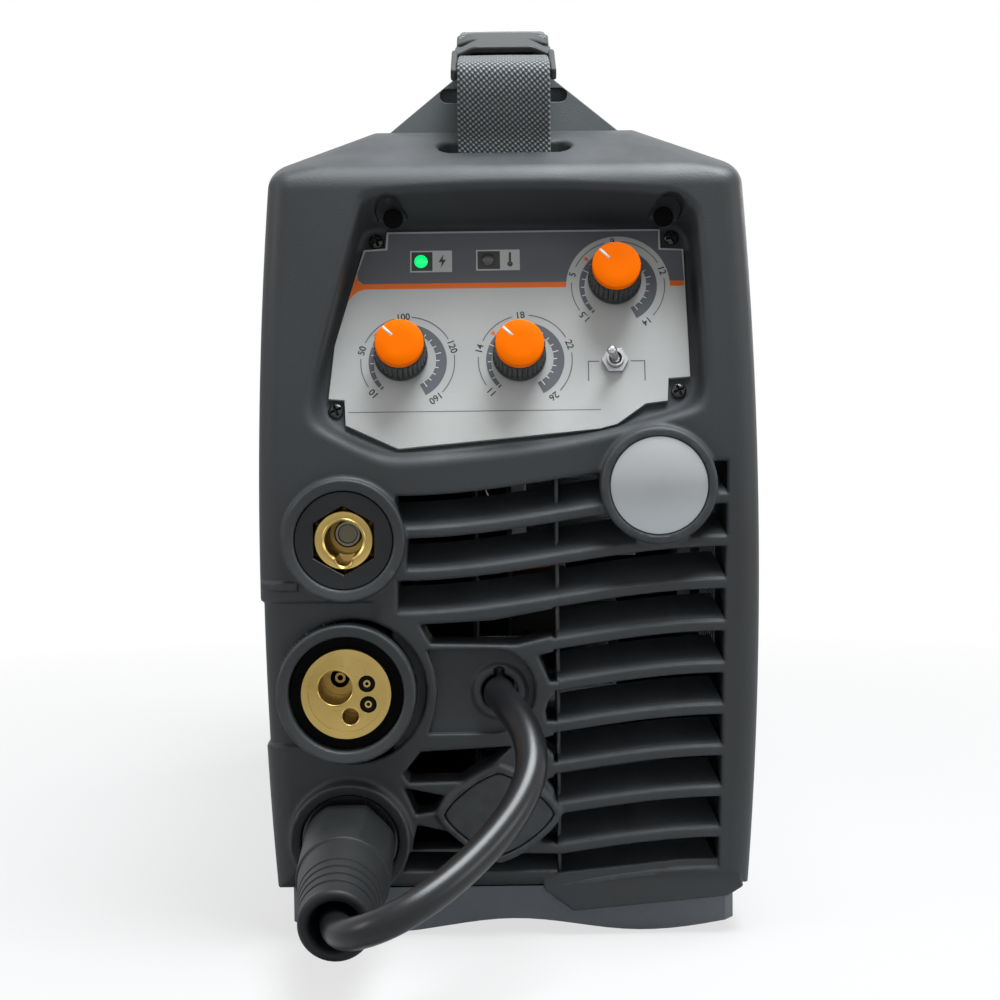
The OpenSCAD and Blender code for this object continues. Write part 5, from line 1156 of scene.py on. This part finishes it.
# ---------------------------------------------------------------- print on the panel
PANEL_MATRIX = Matrix.Translation((0, -0.207, 0.177)) @ Matrix.Rotation(rad(72.5), 4, "X") @ Matrix.Scale(MM, 4)


def printed(name, work, paint):
    """The faces gathered in a bmesh as one piece of print on the case."""
    mesh = bpy.data.meshes.new(name)
    work.to_mesh(mesh)
    work.free()
    mesh.materials.append(paint)
    obj = placed(name, mesh)
    thicken(obj, 0.02)
    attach(obj, "case")


def ink(name, shapes, height, paint):
    """Flat print: each closed outline of (across, up) places is one face, a hair above the plate."""
    work = bmesh.new()
    for outline in shapes:
        p = np.asarray(outline, float)
        q = np.roll(p, -1, axis=0)
        if np.sum(p[:, 0] * q[:, 1] - q[:, 0] * p[:, 1]) < 0:
            p = p[::-1]
        work.faces.new([work.verts.new(PANEL_MATRIX @ Vector((u, s, height))) for u, s in p])
    printed(name, work, paint)


def ring_part(centre, first, last, r_in, r_out, steps=60):
    """A curved strip between two angles in degrees; each radius may run from one value to another."""
    a = np.radians(np.linspace(first, last, steps))
    inner = np.linspace(*(r_in if isinstance(r_in, tuple) else (r_in, r_in)), steps)
    outer = np.linspace(*(r_out if isinstance(r_out, tuple) else (r_out, r_out)), steps)
    way = np.stack([np.cos(a), np.sin(a)], -1)
    return np.concatenate([centre + outer[:, None] * way, (centre + inner[:, None] * way)[::-1]])


def bar(x0, s0, x1, s1, width):
    """A straight stroke between two places."""
    d = np.array([x1 - x0, s1 - s0], float)
    n = np.array([-d[1], d[0]]) / np.linalg.norm(d) * width / 2
    p, q = np.array([x0, s0]), np.array([x1, s1])
    return [p - n, q - n, q + n, p + n]


def box_outline(x0, s0, x1, s1):
    """An upright rectangle between two corners."""
    return [(x0, s0), (x1, s0), (x1, s1), (x0, s1)]


DIALS = (
    ((-34.2, 25.5), ("10", "50", "100", "120", "160")),
    ((6.3, 25.7), ("11", "14", "18", "22", "26")),
    ((38.9, 52.3), ("1.5", "5", "9", "12", "14")),
)
NUMBER_AT = (224, 165, 95.6, 19.4, -53.6)

ink("band_print", [[(-49.6, 53.9), (61.9, 53.9), (61.4, 64.9), (53.3, 65.3), (53.3, 72.3), (-40.8, 72.3),
                    (-41.2, 66.3), (-48.9, 65.8), (-51.7, 57.5), (-51.4, 55.4)]], 0.03, print_dark)
ink("stripe_print", [[(61.9, 53.9), (-49.6, 53.9), (-51.3, 54.9), (-51.9, 57.0), (-53.0, 53.9), (-54.7, 47.4),
                      (-53.3, 49.6), (-51.4, 51.2), (-49.0, 51.95), (61.9, 51.95)]], 0.03, print_orange)
ink("dial_ground", [ring_part(np.array(DIALS[2][0]), -180, 179.9, 0.2, 18.0, 90)], 0.05, satin_panel)
ink("lamp_frames", [box_outline(-33.3, 58.0, -18.7, 65.9), box_outline(-10.3, 58.4, 4.9, 66.0)], 0.05, print_light)
ink("lamp_fields", [box_outline(-32.8, 58.5, -25.5, 65.4), box_outline(-9.8, 58.9, -2.0, 65.5)], 0.07, print_black)
bolt = np.array([(0.45, 2.5), (-1.3, -0.35), (-0.15, -0.35), (-0.6, -2.5), (1.3, 0.55), (0.15, 0.55)])
ink("lamp_signs", [bolt + [-22.1, 62.0], ring_part(np.array([1.5, 60.7]), 118, 422, 0.05, 0.95, 24),
                   box_outline(1.1, 61.0, 1.9, 65.0)], 0.07, print_black)
ink("thin_lines", [bar(-54.7, 7.6, 32, 7.6, 0.3), bar(27.9, 24.9, 31.8, 24.9, 0.4), bar(28.0, 25.0, 28.0, 17.8, 0.4),
                   bar(42.6, 24.9, 47.5, 24.9, 0.4), bar(47.4, 25.0, 47.4, 17.8, 0.4)], 0.03, print_dark)
crescents, ticks, arcs, arrows = [], [], [], []
for centre, _ in DIALS:
    centre = np.array(centre)
    crescents.append(ring_part(centre, 228, -63, (12.2, 9.1), 13.5, 90))
    for k in range(21):
        angle = 224 - 277.6 * k / 20
        inner = 12.2 - 3.1 * (228 - angle) / 291 - 0.1
        reach = inner + (2.1 if k % 5 == 0 else 1.3)
        way = np.array([math.cos(rad(angle)), math.sin(rad(angle))])
        ticks.append(bar(*(centre + inner * way), *(centre + min(reach, 13.7) * way), 0.32))
    edges = [232] + [a + s for a in NUMBER_AT for s in (10.5, -10.5)] + [-62]
    for first, last in zip(edges[0::2], edges[1::2]):
        if first - last > 2:
            arcs.append(ring_part(centre, first, last, 16.0, 16.35, 24))
    way, side = np.array([math.cos(rad(138)), math.sin(rad(138))]), np.array([-math.sin(rad(138)), math.cos(rad(138))])
    arrows.append([centre + 13.3 * way, centre + 15.3 * way + 0.8 * side, centre + 15.3 * way - 0.8 * side])
ink("dial_crescents", crescents, 0.07, print_dark)
ink("dial_ticks", ticks, 0.09, print_light)
ink("dial_arcs", arcs, 0.07, print_dark)
ink("dial_arrows", arrows, 0.09, print_orange)


def dial_numbers():
    """The plain numbers round the dials, each turned so that its top points outwards."""
    work = bmesh.new()
    for centre, words in DIALS:
        for angle, word in zip(NUMBER_AT, words):
            curve = bpy.data.curves.new("number", "FONT")
            curve.body = word
            curve.size = 3.3
            curve.offset = 0.045
            curve.align_x, curve.align_y = "CENTER", "CENTER"
            text = placed("number", curve)
            mesh = bpy.data.meshes.new_from_object(text.evaluated_get(bpy.context.evaluated_depsgraph_get()))
            way = (math.cos(rad(angle)), math.sin(rad(angle)))
            spot = Matrix.Translation((centre[0] + 16.2 * way[0], centre[1] + 16.2 * way[1], 0.07))
            mesh.transform(PANEL_MATRIX @ spot @ Matrix.Rotation(rad(angle - 90), 4, "Z"))
            work.from_mesh(mesh)
            bpy.data.objects.remove(text)
            bpy.data.curves.remove(curve)
            bpy.data.meshes.remove(mesh)
    printed("dial_numbers", work, print_black)


dial_numbers()

BADGE_R, BADGE_RISE = 16.5, 2.6
# radius of the sphere that the dome is a cap of
dome_r = (BADGE_R ** 2 + BADGE_RISE ** 2) / (2 * BADGE_RISE)
t = np.linspace(math.asin(BADGE_R / dome_r), 0, 26)
dome_rows = [[0, -3], [16.2, -3], [BADGE_R, -2.7], [BADGE_R, -1.1]] + [
    [dome_r * math.sin(a), 1.8 - dome_r * (1 - math.cos(a))] for a in t]
turned("badge_dome_dress", dome_rows, BADGE, 0, "case", silver_dome, "badge_dome", 96)

# ---------------------------------------------------------------- power sockets and torch socket
def hexagon(a, flats):
    """Radius of a hexagon with a corner at the top, at angle a: half the width over the cosine from its flat."""
    deg = np.degrees(a)
    return flats / 2 / np.cos(np.radians((deg + 30) % 60 - 30))


def keyed(a):
    """Radius of the bore with its key lobe: 6.5, or the far side of a circle r 2.8 that stands 5.95 below."""
    off = (a - np.radians(270) + np.pi) % (2 * np.pi) - np.pi
    lobe = 5.95 * np.cos(off) + np.sqrt(np.maximum(2.8 ** 2 - (5.95 * np.sin(off)) ** 2, 0))
    return np.where((np.abs(5.95 * np.sin(off)) < 2.8) & (np.cos(off) > 0), np.maximum(6.5, lobe), 6.5)


def shaped(rows):
    """Rings one above the other: each row is (height, radius), the radius a number or a function of the angle."""
    a = np.linspace(0, 2 * np.pi, 144, endpoint=False) + np.radians(30)
    rings = []
    for height, radius in rows:
        r = radius(a) if callable(radius) else radius + 0 * a
        rings.append(np.stack([r * np.cos(a), r * np.sin(a), height + 0 * a], -1))
    return np.array(rings)


def socket(name, at, lean):
    """The black disc with its hexagonal hole, the brass insert with a turned round face, and the bolt behind."""
    disc_rows = [(-13.9, lambda a: hexagon(a, 20.7)), (-2.35, lambda a: hexagon(a, 20.7)),
                 (-2.0, lambda a: hexagon(a, 21.3)), (-2.0, 16.5), (-2.3, 16.88), (-13.9, 16.88)]
    points = shaped(disc_rows)
    add_mesh(name + "_disc", outward(points, at, lean), grid(*points.shape[:2], True, True), "case", gloss_plastic,
             "socket_insulators", sharp=25)
    brass_rows = [(-33, 0), (-33, lambda a: hexagon(a, 20.3)), (-8, lambda a: hexagon(a, 20.3)),
                  (-7.5, lambda a: np.minimum(hexagon(a, 20.3), 10.1)), (-3.0, 10.1), (-2.6, 9.75), (-2.75, 9.4),
                  (-2.75, lambda a: keyed(a) + 1.0), (-2.6, lambda a: keyed(a) + 0.8),
                  (-3.1, lambda a: keyed(a) + 0.1), (-3.6, keyed), (-22, keyed), (-22.1, 6.5), (-30, 6.5), (-30, 0)]
    points = shaped(brass_rows)
    add_mesh(name + "_insert", outward(points, at, lean), grid(*points.shape[:2], loop_cols=True), "case", brass,
             "socket_inserts", sharp=25)
    bolt_rows = [[0, -29.9], [4.75, -29.9], [4.75, -16.6], [4.2, -16], [3.4, -16.1], [3.1, -16.9], [0, -17]]
    turned(name + "_bolt", bolt_rows, outward(np.array([0.6, 1.2, 0.0]), at, lean), lean, "case", dull_steel, None, 48)


socket("upper_socket", UPPER, 0)
socket("lower_socket", LOWER, LOWER_LEAN)

# small bright chamfered rings round two holes of the torch socket: (out from the hole's edge, height)
RIM_ROWS = ((-0.02, -3.5), (0.12, -3.3), (0.3, -3.2), (0.55, -3.32), (0.6, -3.5), (-0.02, -3.5))
for label, spot, radius in (("wire", (-3.7, 2.1), 5.9), ("gas", (1.4, -7.8), 2.85)):
    turned("torch_%s_rim" % label, [[radius + out, h] for out, h in RIM_ROWS],
           outward(np.array([*spot, 0.0]), TORCH, 0), 0, "case", brass, None, 64)

# ---------------------------------------------------------------- buckle
BUCKLE_MID, BUCKLE_LEAN = (-168.0, 308.0), 18.0


def buckle_frame(x, y, z):
    """Places in the buckle's own directions: half across, along it to the rear, and up out of it."""
    c, s = math.cos(rad(BUCKLE_LEAN)), math.sin(rad(BUCKLE_LEAN))
    y, z = y - BUCKLE_MID[0], z - BUCKLE_MID[1]
    return np.abs(x), y * c + z * s, z * c - y * s


def buckle_box(a, v, n, low, high, r):
    """A box in those directions with edges rounded by r."""
    across = np.maximum(low[0] - a, a - high[0])
    along = np.maximum(low[1] - v, v - high[1])
    up = np.maximum(low[2] - n, n - high[2])
    return soft_and(soft_and(across, up, r), along, r)


def buckle_rear_field(x, y, z):
    """The arched half: its top falls by 2.9 towards both sides, less so towards the rear, its side draws in from
    18.2 to 16.7 behind the lip. Cut out are the mouth, a scoop in each side and the room for the webbing's bar."""
    a, v, n = buckle_frame(x, y, z)
    side = np.clip((a - 9) / 9.3, 0, 1)
    back = np.clip((v - 14) / 15, 0, 1)
    top = 4.45 - 2.9 * side ** 2 * (3 - 2 * side) * (1 - 0.7 * back)
    half = 16.7 + 1.5 * np.exp(-((v - 2) / 5.5) ** 2)
    body = soft_and(soft_and(a - half, 0.93 * (n - top), 1.0), -3.4 - n, 0.9)
    body = soft_and(body, np.maximum(1.6 - v, v - 28.6), 0.8)
    mouth = np.maximum(buckle_box(a, v, n, (-1, -3, -2.6), (15.4, 13, 1.9), 0.4), n - top + 2.3)
    body = soft_cut(body, mouth, 0.4)
    scoop = (np.sqrt(((v - 15.0) / 3.0) ** 2 + ((a - 18.4) / 8.2) ** 2) - 1) * 3.0
    body = soft_cut(body, np.maximum(scoop, -2.2 - n), 0.8)
    return soft_cut(body, buckle_box(a, v, n, (-1, 19.5, -9), (16.05, 23.0, 2.0), 0.3), 0.5)


def buckle_front_field(x, y, z):
    """The ladder-shaped half: two side legs, the bar that holds the webbing, a cross bar below the lip, and two
    fingers with pads that end in the scoops."""
    a, v, n = buckle_frame(x, y, z)
    lift = 0.9 * np.clip((v + 20) / 22, 0, 1)
    legs = buckle_box(a, v, n - lift, (16.1, -27.4, -2.1), (18.25, 3.3, 2.1), 0.95)
    bars = np.maximum(np.hypot(v + 25, n) - 1.8, a - 17)
    cross = buckle_box(a, v, n, (-1, -1.2, -1.9), (17.4, 3.2, -0.6), 0.6)
    fingers = buckle_box(a, v, n, (11.8, 1, -1.6), (14.6, 12, 1.2), 0.6)
    pads = buckle_box(a, v, n, (13.4, 10.5, -1.9), (17.3, 19.0, 1.5), 1.2)
    return np.minimum(np.minimum(legs, bars), soft_or(cross, soft_or(fingers, pads, 0.8), 0.6))


for name, field, node in (("buckle_rear_half", buckle_rear_field, "buckle_prongs"),
                          ("buckle_front_half", buckle_front_field, "buckle_socket")):
    field_piece(name, field, (-19.4, -199.6, 293.6), (19.4, -136.8, 323.4), 0.42, 60000, "case",
                buckle_plastic, node)

# ---------------------------------------------------------------- straps
STRAP_W, STRAP_T = 32.0, 2.2


def arc(cy, cz, r, first, last, steps=9):
    """Places on a circle in the YZ plane, angles in degrees from +Y towards +Z."""
    a = np.radians(np.linspace(first, last, steps))
    return np.stack([cy + r * np.cos(a), cz + r * np.sin(a)], -1)


def band(name, line, node=None):
    """Webbing along a line in the YZ plane: a flat section 32 by 2.2 with round edges, carried along the line, its
    map running across in widths and along in mm."""
    line = np.asarray(line, float)
    step = np.linalg.norm(np.diff(line, axis=0), axis=1)
    run = np.concatenate([[0], np.cumsum(step)])
    even = np.linspace(0, run[-1], max(8, int(run[-1] / 1.2)))
    line = np.stack([np.interp(even, run, line[:, 0]), np.interp(even, run, line[:, 1])], -1)
    for _ in range(3):
        line[1:-1] = (line[:-2] + 2 * line[1:-1] + line[2:]) / 4
    way = np.gradient(line, axis=0)
    way /= np.linalg.norm(way, axis=1, keepdims=True)
    normal = np.stack([-way[:, 1], way[:, 0]], -1)
    half, r = STRAP_W / 2, STRAP_T / 2
    edge = np.radians(np.arange(-90, 91, 30))
    flat = np.linspace(-half + r, half - r, 24)
    sx = np.concatenate([half - r + r * np.cos(edge), flat[::-1][1:-1], -half + r - r * np.cos(edge), flat[1:-1]])
    sh = np.concatenate([r * np.sin(edge), np.full(22, r), -r * np.sin(edge), np.full(22, -r)])
    sh = sh * (1 + 0.05 * np.cos(sx * np.pi / half))
    points = np.empty((len(line), len(sx), 3))
    points[..., 0] = sx[None, :]
    points[..., 1:] = line[:, None, :] + sh[None, :, None] * normal[:, None, :]
    whole = np.concatenate([points[:1] * [0, 1, 1], points, points[-1:] * [0, 1, 1]])
    whole[0, :, 1:], whole[-1, :, 1:] = line[0], line[-1]
    strip = add_mesh(name, whole, grid(*whole.shape[:2], loop_cols=True), "case", webbing, node, weld=False, sharp=50)
    mesh = strip.data
    layer = mesh.uv_layers.new(name="weave")
    corner = np.empty(len(mesh.loops), np.int32)
    mesh.loops.foreach_get("vertex_index", corner)
    across = np.tile((sx + half) / STRAP_W, len(line) + 2)
    along = np.repeat(np.concatenate([[even[0]], even, [even[-1]]]), len(sx))
    layer.data.foreach_set("uv", np.stack([across[corner], along[corner]], -1).astype(np.float32).ravel())


front_line = np.concatenate([
    arc(BAR_Y, BAR_Z, 3.75, 60, -180, 14), [[-189.75, 271], [-189.75, 278.5], [-192.6, 287], [-194.6, 294.2]],
    arc(-191.78, 300.27, 3.05, 180, 108, 6), [[-187.9, 304.6], [-180.0, 306.1], [-169.1, 308.3]]])
band("strap_front_run", front_line, "strap")
arch_y = np.linspace(-143.22, 163.75, 44)
rear_line = np.concatenate([
    arc(-144.22, 315.73, 3.05, 200, 92, 8), np.stack([arch_y, 333 - 14.22 * (arch_y / 143.22) ** 2], -1),
    arc(169.75, 294.62, 20, 80, 0, 10), [[189.75, 280], [189.75, 270]], arc(-BAR_Y, BAR_Z, 3.75, 0, -240, 14)])
band("strap_long_run", rear_line)

# ---------------------------------------------------------------- CAD pieces with soft edges
for name, paint, width in (
    ("control_panel", satin_panel, 0.35), ("blank_cap", charcoal_plastic, 0.7), ("toggle_body", steel, 0.25),
    ("toggle_nut", steel, 0.3), ("toggle_lever", steel, 0),
    ("torch_block", brass, 0.3), ("torch_insulator", matt_black_and_niche_shade, 0.5), ("torch_contacts", brass, 0),
    ("handle_towers", tower_plastic, 2.0), ("main_cover", case_paint, 0.5), ("side_door", case_paint, 0.6),
    ("base_tray", base_paint, 0.8), ("rubber_feet", rubber, 1.0),
    ("switch_frame", gloss_plastic, 0.6), ("switch_rocker", gloss_plastic, 0.8), ("mains_gland", black_plastic, 0.5),
    ("gas_inlet", brass, 0.3), ("fan_frame", black_plastic, 0.6), ("fan_rotor", black_plastic, 0.3),
    ("front_latch", black_plastic, 0.25), ("rear_latch", black_plastic, 0.25), ("divider", case_paint, 0.4),
    ("feeder_frame", black_plastic, 0.8), ("feed_motor", steel, 0.6), ("drive_roll", steel, 0.4),
    ("pressure_arm", black_plastic, 0.8), ("pressure_roll", steel, 0.4), ("tension_knob", orange_plastic, 0.5),
    ("spool_hub", black_plastic, 1.0), ("gas_valve", steel, 0.6), ("output_choke", copper_coil, 0.8),
    # the case screws are painted near black and matt: painted shade for their deep niches
    ("transformer", ferrite, 0.8), ("heat_sinks", aluminium, 0.3), ("case_screws", matt_black_and_niche_shade, 0.3),
):
    soften(name, paint, width)

for name, paint in (
    ("potentiometers", steel), ("inner_lead", lead_jacket), ("hinge_pins", steel), ("gas_hose", rubber),
    ("control_board", board), ("power_board", board),
):
    painted(nodes[name].data, paint)
